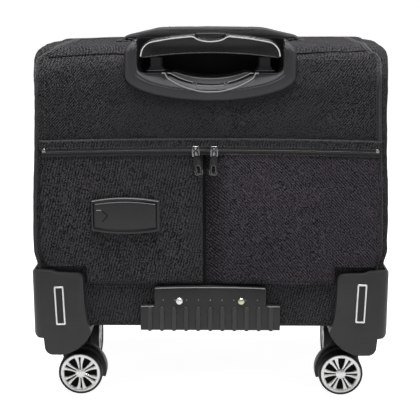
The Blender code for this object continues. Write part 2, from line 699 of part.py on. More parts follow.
def make_main_zip_sliders(paint):
    """The two sliders of the lid's zip, which meet at the middle of the top."""
    for side, sign in SIDES.items():
        name = f"main_zip_slider_{side}"
        x = sign * 0.0085
        low, high = (x - 0.006, LID_SEAM - 0.0042, BODY_TOP + GAP), (x + 0.006, LID_SEAM + 0.0042, 0.4268)
        slider = bevel(box(name, low, high, paint["zip"]), 0.0006, segments=1)
        near, far = sorted((x + sign * 0.001, x + sign * 0.024))
        tab = box(f"join_tab_{side}", (near, LID_SEAM - 0.0035, 0.4262), (far, LID_SEAM + 0.0035, 0.4280))
        combine(slider, tab, "UNION")
        put_origin(slider, (x, LID_SEAM, BODY_TOP))


def make_id_holder(paint):
    """A moulded label frame with a thumb notch at the left, and the slip that slides out there."""
    centre_x, centre_z, half_x, half_z = -0.098, 0.230, 0.0395, 0.0185
    crown = 0.0035
    front = POCKET_BACK - GAP
    outline = []
    for i in range(9):
        u = 1 - i / 4
        outline.append((centre_x + u * half_x, centre_z + half_z + crown * (1 - u * u)))
    for i in range(9):
        u = i / 4 - 1
        outline.append((centre_x + u * half_x, centre_z - half_z - crown * (1 - u * u)))
    holder = prism("id_holder", outline, front - 0.0042, front, paint["bezel"])
    bevel(holder, 0.0008, segments=1)
    slot_low = (centre_x - half_x - 0.01, front - 0.0030, centre_z - 0.0140)
    slot_high = (centre_x + half_x - 0.004, front - 0.0015, centre_z + 0.0140)
    combine(holder, box("cut_id_slot", slot_low, slot_high))
    window_low = (centre_x - 0.0340, front - 0.01, centre_z - 0.0125)
    window_high = (centre_x + 0.0320, front - 0.0025, centre_z + 0.0125)
    combine(holder, box("cut_id_window", window_low, window_high))
    card_low = (centre_x - 0.0365, front - 0.0027, centre_z - 0.0136)
    card_high = (centre_x + 0.0350, front - 0.0018, centre_z + 0.0136)
    card = box("id_card", card_low, card_high, paint["card"])
    put_origin(card, (centre_x, front - 0.0022, centre_z))


def make_skid_guard(paint):
    """A stepped plate with vertical ribs on its lower half, and two domed rivets."""
    half_low, half_high = 0.0825, 0.0655
    right = [(half_low, GUARD_BOTTOM), (half_low, GUARD_STEP), (half_high, GUARD_STEP)]
    right += [(half_high, GUARD_TOP - 0.0012), (0.0, GUARD_TOP)]
    outline = right + mirrored(right[-2::-1], -1)
    guard = prism("skid_guard", outline, GUARD_BACK, BODY_BACK - GAP, paint["guard"])
    bevel(guard, 0.0012, segments=1)
    rib_pitch, rib_half = 0.0143, 0.0026
    for index in range(-5, 6):
        x = index * rib_pitch
        low = (x - rib_half, -HALF_DEPTH, GUARD_BOTTOM + 0.002)
        high = (x + rib_half, GUARD_BACK + 0.001, GUARD_STEP - 0.004)
        rib = bevel(box(f"join_rib_{index + 5}", low, high), 0.0012, segments=1)
        combine(guard, rib, "UNION")
    for side, sign in SIDES.items():
        make_rivet(f"guard_rivet_{side}", sign * RIVET[0], RIVET[1], paint["bright"])


def make_rivet(name, x, z, paint):
    """A low domed head, 10 mm across."""
    radius, rise, base = 0.0050, 0.0028, GUARD_BACK - GAP
    profile = [(0, 0)]
    profile += [(radius * math.cos(math.radians(a)), -rise * math.sin(math.radians(a))) for a in (0, 30, 60)]
    profile += [(0, -rise)]
    return lathe(name, profile, 16, paint, "Y", (x, base, z), closed=False)


def main():
    for old in list(bpy.data.objects):
        bpy.data.objects.remove(old)
    paint = make_materials()
    make_body_shell(paint)
    make_front_lid(paint)
    make_front_pocket(paint)
    make_inner_boards(paint)
    make_carry_handle(paint)
    make_tubes(paint)
    make_handle_bezel(paint)
    make_grip(paint)
    body_space = case_solid("cut_body_space", -0.0004, BODY_FRONT + 0.0004)
    body_space.hide_render = True
    body_space.display_type = "WIRE"
    for end in ENDS:
        for side in SIDES:
            make_housing(end, side, paint)
            make_caster(end, side, paint)
    make_corner_trims(paint)
    make_rear_pocket(paint)
    make_rear_zip(paint)
    make_main_zip_sliders(paint)
    make_id_holder(paint)
    make_skid_guard(paint)


main()
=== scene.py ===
"""Looks for the rolling laptop case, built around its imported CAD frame. Units are metres."""

import json
import math

import bmesh
import bpy
import numpy as np
from mathutils import Matrix, Vector, noise
from mathutils.bvhtree import BVHTree

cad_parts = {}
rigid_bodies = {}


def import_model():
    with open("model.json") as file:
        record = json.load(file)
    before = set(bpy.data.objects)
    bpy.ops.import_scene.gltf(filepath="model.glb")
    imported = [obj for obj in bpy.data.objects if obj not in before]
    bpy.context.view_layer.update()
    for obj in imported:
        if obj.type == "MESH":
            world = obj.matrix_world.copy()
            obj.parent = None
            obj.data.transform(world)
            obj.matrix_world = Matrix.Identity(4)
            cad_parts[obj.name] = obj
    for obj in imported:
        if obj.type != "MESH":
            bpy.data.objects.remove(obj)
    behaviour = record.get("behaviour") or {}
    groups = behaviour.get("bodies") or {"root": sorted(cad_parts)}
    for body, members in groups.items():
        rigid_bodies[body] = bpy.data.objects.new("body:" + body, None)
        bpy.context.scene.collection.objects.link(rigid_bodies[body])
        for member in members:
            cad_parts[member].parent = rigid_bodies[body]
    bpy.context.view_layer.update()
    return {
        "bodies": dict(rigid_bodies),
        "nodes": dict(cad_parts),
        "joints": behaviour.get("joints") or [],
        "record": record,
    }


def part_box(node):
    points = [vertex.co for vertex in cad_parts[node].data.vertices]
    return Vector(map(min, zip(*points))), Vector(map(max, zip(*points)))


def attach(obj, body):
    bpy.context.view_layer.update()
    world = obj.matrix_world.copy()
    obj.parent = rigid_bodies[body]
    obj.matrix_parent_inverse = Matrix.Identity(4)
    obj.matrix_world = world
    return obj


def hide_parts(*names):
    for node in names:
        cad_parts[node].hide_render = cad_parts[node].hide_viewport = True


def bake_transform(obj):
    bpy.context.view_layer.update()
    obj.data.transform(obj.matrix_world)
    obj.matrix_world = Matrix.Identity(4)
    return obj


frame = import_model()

SIDES = {"left": -1, "right": 1}

# ---------------------------------------------------------------- places, from the frame
SHELL_LOW, SHELL_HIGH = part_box("body_shell")
LID_LOW, LID_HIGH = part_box("front_lid")
BEZEL_LOW, BEZEL_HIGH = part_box("handle_bezel")
GRIP_LOW, GRIP_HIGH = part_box("handle_grip")
GUARD_LOW, POCKET_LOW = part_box("skid_guard")[0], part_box("rear_pocket_panel")[0]
ORGANISER_LOW, ORGANISER_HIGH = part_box("front_pocket")
STRAP_LOW, STRAP_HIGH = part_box("carry_handle")
TYRE_LOW, TYRE_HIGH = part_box("tyre_rear_left_outer")
BACK_Y = SHELL_LOW.y  # plane of the back panel
TOP_Z = SHELL_HIGH.z
SEAM_Y = LID_LOW.y  # where the lid meets the body
FRONT_WALL_Y = SHELL_HIGH.y
LID_FACE_Y = LID_HIGH.y
FACE_Y = POCKET_LOW.y  # outer face of the back pocket
ZIP_Z = sum(c.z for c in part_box("rear_zip_tape")) / 2
TYRE_RADIUS = (TYRE_HIGH.z - TYRE_LOW.z) / 2
AXLE_Z = TYRE_LOW.z + TYRE_RADIUS
WALL = 0.004
TUBE_X = 0.062  # from the middle to each of the trolley's tubes
SWIVEL_X, SWIVELS = 0.172, {"rear": -0.071, "front": 0.062}  # where the casters' swivel axes stand
SLIDER_Y = -0.1126  # the back of the pocket zip's sliders
POCKET_FOOT_Z = 0.1462  # the back pocket's lower edge
LABEL_X, LABEL_Z = -0.098, 0.230  # the middle of the label holder


# ---------------------------------------------------------------- node materials
class Paint:
    """A node material under construction: a Principled shader and a few shorthands."""

    def __init__(self, name, **values):
        self.material = bpy.data.materials.new(name)
        self.material.use_nodes = True
        self.tree = self.material.node_tree
        self.shader = self.tree.nodes["Principled BSDF"]
        for socket, value in values.items():
            self.shader.inputs[socket].default_value = (*value, 1) if isinstance(value, tuple) else value
        self.place = self.node("ShaderNodeTexCoord").outputs["Object"]

    def node(self, kind, links=None, **settings):
        made = self.tree.nodes.new(kind)
        for key, value in settings.items():
            setattr(made, key, value)
        for key, value in (links or {}).items():
            if isinstance(value, bpy.types.NodeSocket):
                self.tree.links.new(value, made.inputs[key])
            else:
                made.inputs[key].default_value = value
        return made

    def maths(self, operation, a, b=0.0):
        return self.node("ShaderNodeMath", {0: a, 1: b}, operation=operation).outputs[0]

    def add(self, first, *others):
        for other in others:
            first = self.maths("ADD", first, other)
        return first

    def times(self, a, b):
        return self.maths("MULTIPLY", a, b)

    def rescale(self, value, low, high, to_low=0.0, to_high=1.0):
        """Maps low to high onto to_low to to_high, and stops at the ends."""
        ends = {"Value": value, "From Min": low, "From Max": high, "To Min": to_low, "To Max": to_high}
        return self.node("ShaderNodeMapRange", ends).outputs[0]

    def wave(self, turn):
        """A sine wave between 0 and 1."""
        return self.rescale(self.maths("SINE", turn), -1, 1)

    def xyz(self):
        parts = self.node("ShaderNodeSeparateXYZ", {"Vector": self.place}).outputs
        return parts["X"], parts["Y"], parts["Z"]

    def noise(self, scale, detail=2.0, roughness=0.5, vector=None):
        links = {"Vector": vector or self.place, "Scale": scale, "Detail": detail, "Roughness": roughness}
        return self.node("ShaderNodeTexNoise", links).outputs["Fac"]

    def colour(self, value, *stops):
        """Turns a value into the base colour, through stops of (position, colour)."""
        made = self.node("ShaderNodeValToRGB", {"Fac": value})
        elements = made.color_ramp.elements
        while len(elements) < len(stops):
            elements.new(0.5)
        for element, (position, colour) in zip(elements, stops):
            element.position = position
            element.color = (*colour, 1)
        self.link(made.outputs["Color"], "Base Color")

    def link(self, value, name):
        self.tree.links.new(value, self.shader.inputs[name])

    def bump(self, height, distance, strength=1.0):
        links = {"Height": height, "Distance": distance, "Strength": strength}
        self.link(self.node("ShaderNodeBump", links).outputs["Normal"], "Normal")


def woven(name, dark, light, rib, thread, sheen=0.012, roughness=0.9, lean=1.0, bump=0.00025, painted_fold_shade=None):
    """A twill: slanted ribs of short threads, with slubs, flecks and soft mottling."""
    paint = Paint(name, **{"Roughness": roughness, "Sheen Weight": sheen, "Sheen Roughness": 0.45,
                           "Specular IOR Level": 0.06})
    x, y, z = paint.xyz()
    sway = paint.times(paint.noise(60, 2), 5.0)
    slanted = paint.maths("SUBTRACT", paint.add(x, y), paint.times(z, lean))
    along = paint.add(x, z, paint.times(y, 0.35))
    rib_turn = paint.add(paint.times(slanted, 2 * math.pi / rib), sway)
    thread_turn = paint.add(paint.times(along, 2 * math.pi / thread), paint.times(rib_turn, 0.5))
    weave = paint.times(paint.add(paint.wave(rib_turn), 0.75), paint.add(paint.wave(thread_turn), 0.35))
    flecks = paint.rescale(paint.noise(640, 2, 0.6), 0.30, 0.70)
    slubs, mottle = paint.noise(330, 3, 0.6), paint.noise(28, 3)
    tone = paint.times(paint.add(weave, 0.10), paint.add(paint.times(flecks, 0.90), 0.04))
    tone = paint.add(paint.times(tone, 0.72), paint.times(slubs, 0.26), paint.times(mottle, 0.16))
    if painted_fold_shade is not None:  # painted shade of the fold by the seam: darkest at this X, back to full tone 28 mm further on
        tone = paint.times(tone, paint.rescale(x, painted_fold_shade, painted_fold_shade + 0.028, 0.72, 1.0))
    paint.colour(tone, (0.15, dark), (0.5, tuple(0.15 * c for c in light)), (0.9, light))
    paint.bump(paint.add(weave, slubs), bump, 0.8)
    return paint.material


def moulded(name, colour, roughness, grain=0.00006, scale=1400, wear=0.25, specular=0.20):
    """Moulded plastic with a fine grain, and slightly paler, smoother patches where it is handled."""
    paint = Paint(name, **{"Specular IOR Level": specular})
    patches, speckle = paint.noise(22, 4, 0.6), paint.noise(scale, 2, 0.6)
    pale = tuple(min(c * (1 + wear) + 0.002, 1) for c in colour)
    deep = tuple(c * (1 - wear * 0.6) for c in colour)
    paint.colour(paint.add(paint.times(patches, 0.7), paint.times(speckle, 0.3)), (0.3, deep), (0.7, pale))
    paint.link(paint.rescale(patches, 0, 1, roughness - 0.09, roughness + 0.09), "Roughness")
    paint.bump(speckle, grain, 0.7)
    return paint.material


def metal(name, colour, roughness, brushed=(1, 1, 40), scale=160, metallic=1.0):
    """Metal with fine directional scratches."""
    paint = Paint(name, Metallic=metallic)
    stretched = paint.node("ShaderNodeMapping", {"Vector": paint.place, "Scale": brushed}).outputs[0]
    lines, smears = paint.noise(scale, 3, 0.6, stretched), paint.noise(45, 3, 0.6)
    paint.colour(lines, (0.3, tuple(c * 0.82 for c in colour)), (0.7, colour))
    paint.link(paint.rescale(smears, 0, 1, roughness * 0.8, roughness * 1.3), "Roughness")
    paint.bump(lines, 0.00002, 0.5)
    return paint.material


def webbing(name, dark, light, pitch=0.0016):
    """Narrow woven tape, ribbed across its length."""
    paint = Paint(name, **{"Roughness": 0.85, "Sheen Weight": 0.03, "Specular IOR Level": 0.12})
    x, y, z = paint.xyz()
    length = paint.add(x, z, paint.times(y, 0.5))
    across = paint.maths("SINE", paint.times(length, 2 * math.pi / pitch))
    cross = paint.maths("SINE", paint.times(y, 2 * math.pi / (pitch * 1.4)))
    ribs = paint.rescale(paint.add(across, cross), -2, 2)
    tone = paint.add(paint.times(ribs, 0.7), paint.times(paint.noise(900, 2, 0.7), 0.4))
    paint.colour(tone, (0.25, dark), (0.85, light))
    paint.bump(tone, 0.0002, 0.8)
    return paint.material


def make_paints():
    def grey(value):
        return (value, value, value * 1.02)

    ink = (0.0004, 0.0004, 0.0004)
    dark = grey(0.0004)
    return {
        "shell": woven("shell_twill", dark, (0.0335, 0.0322, 0.0345), 0.0034, 0.0025),
        "pocket_left": woven("pocket_twill_left", dark, (0.0370, 0.0356, 0.0385), 0.0032, 0.0026, lean=0.25),
        # the right panel's twill carries painted fold shade along the centre seam
        "pocket_right": woven("pocket_twill_right", ink, (0.0410, 0.0360, 0.0434), 0.0036, 0.0024,
                              lean=-0.9, painted_fold_shade=-0.006),
        "pocket_front": woven("pocket_twill_front", ink, (0.046, 0.042, 0.048), 0.0036, 0.0024, lean=0.8),
        "gusset": woven("gusset_twill", grey(0.0020), grey(0.050), 0.0024, 0.0020, sheen=0.04),
        "lining": woven("lining_cloth", grey(0.022), grey(0.06), 0.0016, 0.0012,
                        sheen=0.1, roughness=0.6, bump=0.0001),
        "webbing": webbing("handle_webbing", grey(0.008), grey(0.035)),
        "tape": webbing("zip_tape", grey(0.006), grey(0.028), 0.0011),
        "piping": webbing("piping_cord", grey(0.010), grey(0.045), 0.0013),
        "thread": moulded("stitch_thread", grey(0.020), 0.6, 0.00005, 3000),
        "housing": moulded("housing_plastic", (0.0110, 0.0109, 0.0114), 0.46, 0.00007, 1500),
        "guard": moulded("guard_plastic", (0.0092, 0.0088, 0.0092), 0.42, 0.00007, 1300),
        # a paler plastic for the guard's ribs: it paints the light they catch
        "rib": moulded("rib_plastic_painted_light", (0.0165, 0.0158, 0.0162), 0.40, 0.00007, 1300),
        "bezel": moulded("bezel_plastic", (0.013, 0.013, 0.0145), 0.33, 0.00005, 1500),
        # a paler plastic for the bezel face that leans up: it paints the highlight on that face
        "face": moulded("bezel_face_painted_highlight", (0.034, 0.034, 0.036), 0.34, 0.00005, 1500, specular=0.34),
        # near-black plastic that paints shade in recesses: the bezel's cup and scoop pit, seams, slots and
        # grooves
        "shade_black": moulded("painted_shade_black", (0.0025, 0.0025, 0.0025), 0.9, 0.00005, 1500, specular=0.05),
        "bowl": moulded("bezel_bowl", (0.016, 0.016, 0.017), 0.62, 0.00005, 1500),
        "grip": moulded("grip_plastic", (0.0035, 0.0035, 0.0038), 0.28, 0.00004, 1700),
        # a paler plastic for the bead on the grip's lower edge: it paints that edge's highlight
        "lip": moulded("grip_lip_highlight", (0.022, 0.022, 0.023), 0.34, 0.00003, 1700),
        "fork": moulded("fork_plastic", (0.005, 0.005, 0.0055), 0.40, 0.00005, 1500),
        "frame": moulded("label_plastic", (0.0108, 0.0107, 0.0112), 0.38, 0.00006, 1500),
        "card": moulded("label_insert", (0.0092, 0.0091, 0.0097), 0.45, 0.00008, 1100),
        # a pale plastic for thin beads along edges and for small dots: it paints highlights
        "edge": moulded("painted_highlight_plastic", grey(0.11), 0.32, 0.00004, 1500),
        "board": moulded("stiffener_board", (0.05, 0.048, 0.045), 0.8, 0.0001, 700),
        "tyre": moulded("tyre_rubber", (0.006, 0.006, 0.006), 0.58, 0.00008, 1100, 0.5),
        "coil": moulded("zip_coil", (0.013, 0.013, 0.014), 0.4, 0.00003, 2000),
        "pull": moulded("pull_lacquer", (0.004, 0.004, 0.004), 0.26, 0.00002, 1800),
        "cap": metal("cap_silver", (0.49, 0.49, 0.48), 0.38, (1, 1, 1), 900, 0.75),
        "bright": metal("bright_trim", (0.80, 0.80, 0.79), 0.24, (1, 40, 1), 160),
        "satin": metal("satin_trim", (0.50, 0.50, 0.49), 0.42, (1, 40, 1), 160),
        "brass": metal("rivet_brass", (0.36, 0.37, 0.27), 0.36, (1, 1, 1), 500),
        "tube": metal("tube_black", (0.016, 0.016, 0.018), 0.3, (40, 40, 1), 120, 0.8),
        "steel": metal("axle_steel", (0.5, 0.5, 0.5), 0.3, (1, 30, 1), 300),
        "zip": metal("zip_gunmetal", (0.16, 0.16, 0.16), 0.24, (1, 1, 1), 700),
    }


PAINT = make_paints()


# ---------------------------------------------------------------- mesh helpers
def add_object(name, mesh):
    made = bpy.data.objects.new(name, mesh)
    bpy.context.scene.collection.objects.link(made)
    return made


def dress(target, paint, sharp):
    """Gives a new piece its material and its shading."""
    if paint:
        target.data.materials.append(PAINT[paint])
    return soften(target, sharp)


def edit(target, action):
    """Runs an action on the piece's mesh."""
    bm = bmesh.new()
    bm.from_mesh(target.data)
    action(bm)
    bm.to_mesh(target.data)
    bm.free()
    return target


def merge(target, distance):
    """Joins the points that are closer than the distance."""
    return edit(target, lambda bm: bmesh.ops.remove_doubles(bm, verts=bm.verts, dist=distance))


def tube_faces(rows, count, first=0):
    """The faces between closed rings of points, numbered from the first."""
    faces = []
    for start in range(first, first + (rows - 1) * count, count):
        for i in range(count):
            j = (i + 1) % count
            faces.append((start + i, start + j, start + count + j, start + count + i))
    return faces


def sheet_faces(columns, rows):
    """The faces of a closed sheet: two grids of points, one after the other, and the rim between them."""
    row, half = columns + 1, (columns + 1) * (rows + 1)
    faces = []
    for j in range(rows):
        for a in range(j * row, j * row + columns):
            faces.append((a, a + row, a + row + 1, a + 1))
            faces.append((half + a, half + a + 1, half + a + row + 1, half + a + row))
    rim = list(range(row)) + [j * row + columns for j in range(1, rows + 1)]
    rim += [rows * row + i for i in range(columns - 1, -1, -1)] + [j * row for j in range(rows - 1, 0, -1)]
    return faces + [(a, b, half + b, half + a) for a, b in zip(rim, rim[1:] + rim[:1])]


def axes(forward, normal):
    """Three directions at right angles: along, across, and as close to the normal as possible."""
    forward = forward.normalized()
    up = Vector(normal)
    up = (up - forward * up.dot(forward)).normalized()
    return forward, forward.cross(up), up


def hoop(name, rings, paint, sharp=50):
    """A moulding through rings of points, the last of which joins the first."""
    return outward(merge(loft(name, rings + rings[:1], paint, sharp, caps=False), 1e-6))


def bead(name, line, step, radius, paint="edge", sides=6, up=(0, -1, 0)):
    """A thin round line, by default in the pale plastic that paints a highlight."""
    return sweep(name, resample(line, step), circle(radius, sides), up, paint)


def at_y(points, y):
    return [(x, y, z) for x, z in points]


def at_z(points, z):
    return [(x, y, z) for x, y in points]


def add_mesh(name, verts, faces, paint=None, sharp=None):
    """A new object whose faces point outwards, smooth but for edges sharper than the angle."""
    mesh = bpy.data.meshes.new(name)
    mesh.from_pydata([tuple(v) for v in verts], [], [tuple(f) for f in faces])
    return dress(outward(add_object(name, mesh)), paint, sharp)


def outward(target):
    return edit(target, lambda bm: bmesh.ops.recalc_face_normals(bm, faces=bm.faces))


def soften(target, sharp=None):
    target.data.shade_smooth()
    if sharp:
        target.data.set_sharp_from_angle(angle=math.radians(sharp))
    return target


def settle(target, sharp=None):
    """Applies all modifiers and the object's own transform."""
    bpy.context.view_layer.update()
    graph = bpy.context.evaluated_depsgraph_get()
    mesh = bpy.data.meshes.new_from_object(target.evaluated_get(graph))
    mesh.transform(target.matrix_world)
    old = target.data
    target.modifiers.clear()
    target.data = mesh
    target.matrix_world = Matrix.Identity(4)
    bpy.data.meshes.remove(old)
    if sharp is not None:
        soften(target, sharp)
    return target


def change(target, kind, **settings):
    made = target.modifiers.new(kind.title(), kind)
    for key, value in settings.items():
        setattr(made, key, value)
    return target


def combine(target, other, operation="DIFFERENCE"):
    """Cuts or joins with another object, which is used up."""
    change(target, "BOOLEAN", operation=operation, solver="EXACT", object=other, material_mode="TRANSFER")
    settle(target)
    bpy.data.objects.remove(other)
    return target


def rounded(target, width, segments=3, angle=35, sharp=50):
    change(target, "BEVEL", width=width, segments=segments, limit_method="ANGLE",
           angle_limit=math.radians(angle), harden_normals=False)
    return settle(target, sharp)


def melt(target, voxel, passes):
    """Turns a built-up solid into one moulding with soft edges."""
    change(target, "REMESH", mode="VOXEL", voxel_size=voxel, use_smooth_shade=True)
    change(target, "SMOOTH", iterations=passes, factor=0.5)
    return settle(target, 80)


def arc(x_mid, z_mid, radius, start, end, steps, radius_z=None):
    radius_z = radius if radius_z is None else radius_z
    turns = [math.radians(start + (end - start) * i / steps) for i in range(steps + 1)]
    return [(x_mid + radius * math.cos(a), z_mid + radius_z * math.sin(a)) for a in turns]


def mirrored(points):
    return [(-x, z) for x, z in points]


def loft(name, rings, paint=None, sharp=40, caps=True):
    """A skin through rings that have the same number of points."""
    count = len(rings[0])
    faces = tube_faces(len(rings), count)
    if caps:
        faces += [range(count), range((len(rings) - 1) * count, len(rings) * count)]
    return add_mesh(name, [p for ring in rings for p in ring], faces, paint, sharp)


def prism(name, outline, y_low, y_high, paint=None, sharp=40):
    return loft(name, [[(x, y, z) for x, z in outline] for y in (y_low, y_high)], paint, sharp)


def block(name, low, high, paint=None):
    outline = [(low[0], low[2]), (high[0], low[2]), (high[0], high[2]), (low[0], high[2])]
    return prism(name, outline, low[1], high[1], paint)


def lathe(name, profile, segments, paint=None, axis="Y", centre=(0, 0, 0), sharp=40, closed=False):
    """Turns (radius, height) points about an axis. An open profile starts and ends on the axis."""
    bm = bmesh.new()
    rings = []
    for step in range(segments):
        turn = 2 * math.pi * step / segments
        ring = []
        for radius, height in profile:
            if radius == 0 and step:
                ring.append(rings[0][len(ring)])
                continue
            u, v = radius * math.cos(turn), radius * math.sin(turn)
            point = {"X": (height, u, v), "Y": (u, height, v), "Z": (u, v, height)}[axis]
            ring.append(bm.verts.new(Vector(point) + Vector(centre)))
        rings.append(ring)
    count = len(profile)
    for step in range(segments):
        near, far = rings[step], rings[(step + 1) % segments]
        for i in range(count if closed else count - 1):
            j = (i + 1) % count
            corners = list(dict.fromkeys((near[i], near[j], far[j], far[i])))
            if len(corners) > 2:
                bm.faces.new(corners)
    bmesh.ops.recalc_face_normals(bm, faces=bm.faces)
    mesh = bpy.data.meshes.new(name)
    bm.to_mesh(mesh)
    bm.free()
    return dress(add_object(name, mesh), paint, sharp)


def circle(radius, count=8):
    turns = [2 * math.pi * i / count for i in range(count)]
    return [(radius * math.cos(turn), radius * math.sin(turn)) for turn in turns]


def sweep(name, path, section, normals, paint=None, closed=False, sharp=40):
    """Carries a section along a path. Its second coordinate runs along the given normals."""
    path = [Vector(p) for p in path]
    rings = []
    last = len(path) - 1
    for i, point in enumerate(path):
        ahead = path[(i + 1) % len(path)] if closed else path[min(i + 1, last)]
        behind = path[i - 1] if closed or i else path[0]
        normal = normals[i] if isinstance(normals, list) else normals
        side, up = axes(ahead - behind, normal)[1:]
        profile = section(i / last) if callable(section) else section
        rings.append([point + side * u + up * v for u, v in profile])
    if not closed:
        return loft(name, rings, paint, sharp)
    return merge(loft(name, rings + rings[:1], paint, sharp, caps=False), 1e-7)


def join(name, pieces):
    """Puts several pieces into one object, keeping their materials."""
    bm = bmesh.new()
    materials = []
    for piece in pieces:
        slots = []
        for material in piece.data.materials:
            if material not in materials:
                materials.append(material)
            slots.append(materials.index(material))
        start = len(bm.faces)
        mesh = piece.data.copy()
        mesh.transform(piece.matrix_world)
        bm.from_mesh(mesh)
        bpy.data.meshes.remove(mesh)
        bm.faces.ensure_lookup_table()
        for face in bm.faces[start:]:
            face.material_index = slots[face.material_index] if slots else 0
    mesh = bpy.data.meshes.new(name)
    bm.to_mesh(mesh)
    bm.free()
    for material in materials:
        mesh.materials.append(material)
    for piece in pieces:
        bpy.data.objects.remove(piece)
    return add_object(name, mesh)


def resample(points, step):
    """Evenly spaced points along a polyline."""
    points = [Vector(p) for p in points]
    lengths = [0.0]
    for a, b in zip(points, points[1:]):
        lengths.append(lengths[-1] + (b - a).length)
    count = max(2, round(lengths[-1] / step) + 1)
    out, k = [], 0
    for i in range(count):
        s = lengths[-1] * i / (count - 1)
        while k < len(points) - 2 and lengths[k + 1] < s:
            k += 1
        t = (s - lengths[k]) / max(lengths[k + 1] - lengths[k], 1e-9)
        out.append(points[k].lerp(points[k + 1], min(max(t, 0), 1)))
    return out


def surface(*targets):
    """A search tree over the outside of some pieces."""
    bm = bmesh.new()
    for target in targets:
        bm.from_mesh(target.data)
    tree = BVHTree.FromBMesh(bm)
    bm.free()
    return tree


def on_surface(tree, points, lift):
    """The nearest points of the surface, lifted off it, and its normals there."""
    out, normals = [], []
    for point in points:
        place, normal, _, _ = tree.find_nearest(point)
        out.append(place + normal * lift)
        normals.append(normal)
    return out, normals


def stitches(name, tree, lines, body, slot, pitch=0.0042, length=0.0029, radius=0.00034):
    """Rows of short rounded stitches along lines that lie close to a surface."""
    verts, faces = [], []
    sides = 6
    for line in lines:
        points, normals = on_surface(tree, resample(line, pitch), radius * 0.5)
        for i in range(len(points) - 1):
            forward, side, up = axes(points[i + 1] - points[i], normals[i])
            base = len(verts)
            for t, size, sunk in ((0, 0.45, 0.7), (0.16, 1, 0), (0.84, 1, 0), (1, 0.45, 0.7)):
                centre = points[i] + forward * (length * t)
                for u, v in circle(radius * size, sides):
                    verts.append(centre + side * u + up * (v - radius * sunk))
            faces += tube_faces(4, sides, base)
            faces += [range(base, base + sides), range(base + 3 * sides, base + 4 * sides)]
    return done(add_mesh(name, verts, faces, "thread"), body, slot)


def done(target, body, slot=None, *nodes):
    """Rides the piece on its body, and hides the nodes that it stands for. Its slot is not used."""
    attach(target, body)
    if nodes:
        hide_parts(*nodes)
    return target


def smoothstep(low, high, value):
    t = min(max((value - low) / (high - low), 0.0), 1.0)
    return t * t * (3 - 2 * t)


def hill(value, middle, half):
    """A smooth bump of height 1 that is 0 beyond half either side."""
    t = abs(value - middle) / half
    return (1 - t * t) ** 2 if t < 1 else 0.0


def ripple(point, scale, seed=0.0):
    return noise.fractal(Vector(point) * scale + Vector((seed, seed * 1.7, -seed)), 0.8, 2.1, 3)


def sculpt(target, rule):
    """Moves each vertex by what the rule gives for its place and normal."""
    mesh = target.data
    normals = [v.normal.copy() for v in mesh.vertices]
    for vertex, normal in zip(mesh.vertices, normals):
        vertex.co += rule(vertex.co.copy(), normal)
    mesh.update()
    return target


def repaint(target, test, paint):
    """Gives the faces whose middle passes the test another material."""
    target.data.materials.append(PAINT[paint])
    index = len(target.data.materials) - 1
    for face in target.data.polygons:
        if test(face.center, face.normal):
            face.material_index = index
    return target


# ---------------------------------------------------------------- case body
BACK_ROLL_Y, BACK_ROLL_Z = 0.025, 0.042  # the soft round between the back and the top
TOP_CORNER, LOW_CORNER = 0.015, 0.020
FOLD_Z = 0.166  # top of the low front wall, and of the corner housings


def half_width(z):
    """Half the width of the case at a height. It bellies out a little above the housings."""
    share = (z - SHELL_LOW.z) / (TOP_Z - SHELL_LOW.z)
    straight = SHELL_HIGH.x + share * (0.1995 - SHELL_HIGH.x)
    return straight + 0.0046 * smoothstep(FOLD_Z, FOLD_Z + 0.022, z) * (1 - smoothstep(0.20, 0.37, z))


def frame_ring(inset_x, inset_top, inset_low, low, low_corner, nx, nz):
    """A rounded rectangle in X and Z as four even runs: bottom, right, top and left."""
    x_mid = SHELL_HIGH.x - inset_x
    z_low, z_high = low + inset_low, TOP_Z - inset_top
    r_top, r_low = max(TOP_CORNER - inset_x, 0.004), max(low_corner - inset_x * 0.5, 0.003)
    corners = [
        arc(x_mid - r_low, z_low + r_low, r_low, 270, 360, 8),
        arc(x_mid - r_top, z_high - r_top, r_top, 0, 90, 10),
        arc(-x_mid + r_top, z_high - r_top, r_top, 90, 180, 10),
        arc(-x_mid + r_low, z_low + r_low, r_low, 180, 270, 8),
    ]
    halves = [(c[: len(c) // 2 + 1], c[len(c) // 2:]) for c in corners]
    ring = []
    for k, count in enumerate((nx, nz, nx, nz)):
        line = [Vector(p) for p in at_y(halves[k - 1][1] + halves[k][0], 0)]
        total = sum((b - a).length for a, b in zip(line, line[1:]))
        ring += [(p.x, p.z) for p in resample(line, total / count)[:count]]
    return [(x * half_width(z) / SHELL_HIGH.x, z) for x, z in ring]


def filled(ring, nx, nz, y):
    """Inner points of a ring made of runs nx, nz, nx, nz, as a Coons patch."""
    ring = [np.array(p) for p in ring]
    bottom = ring[: nx + 1]
    right = ring[nx: nx + nz + 1]
    top = ring[nx + nz: 2 * nx + nz + 1][::-1]
    left = (ring[2 * nx + nz:] + [ring[0]])[::-1]
    rows = []
    for j in range(1, nz):
        v = j / nz
        row = []
        for i in range(1, nx):
            u = i / nx
            point = (1 - v) * bottom[i] + v * top[i] + (1 - u) * left[j] + u * right[j]
            point -= (1 - u) * (1 - v) * bottom[0] + u * (1 - v) * bottom[-1]
            point -= (1 - u) * v * top[0] + u * v * top[-1]
            row.append((point[0], y, point[1]))
        rows.append(row)
    return rows


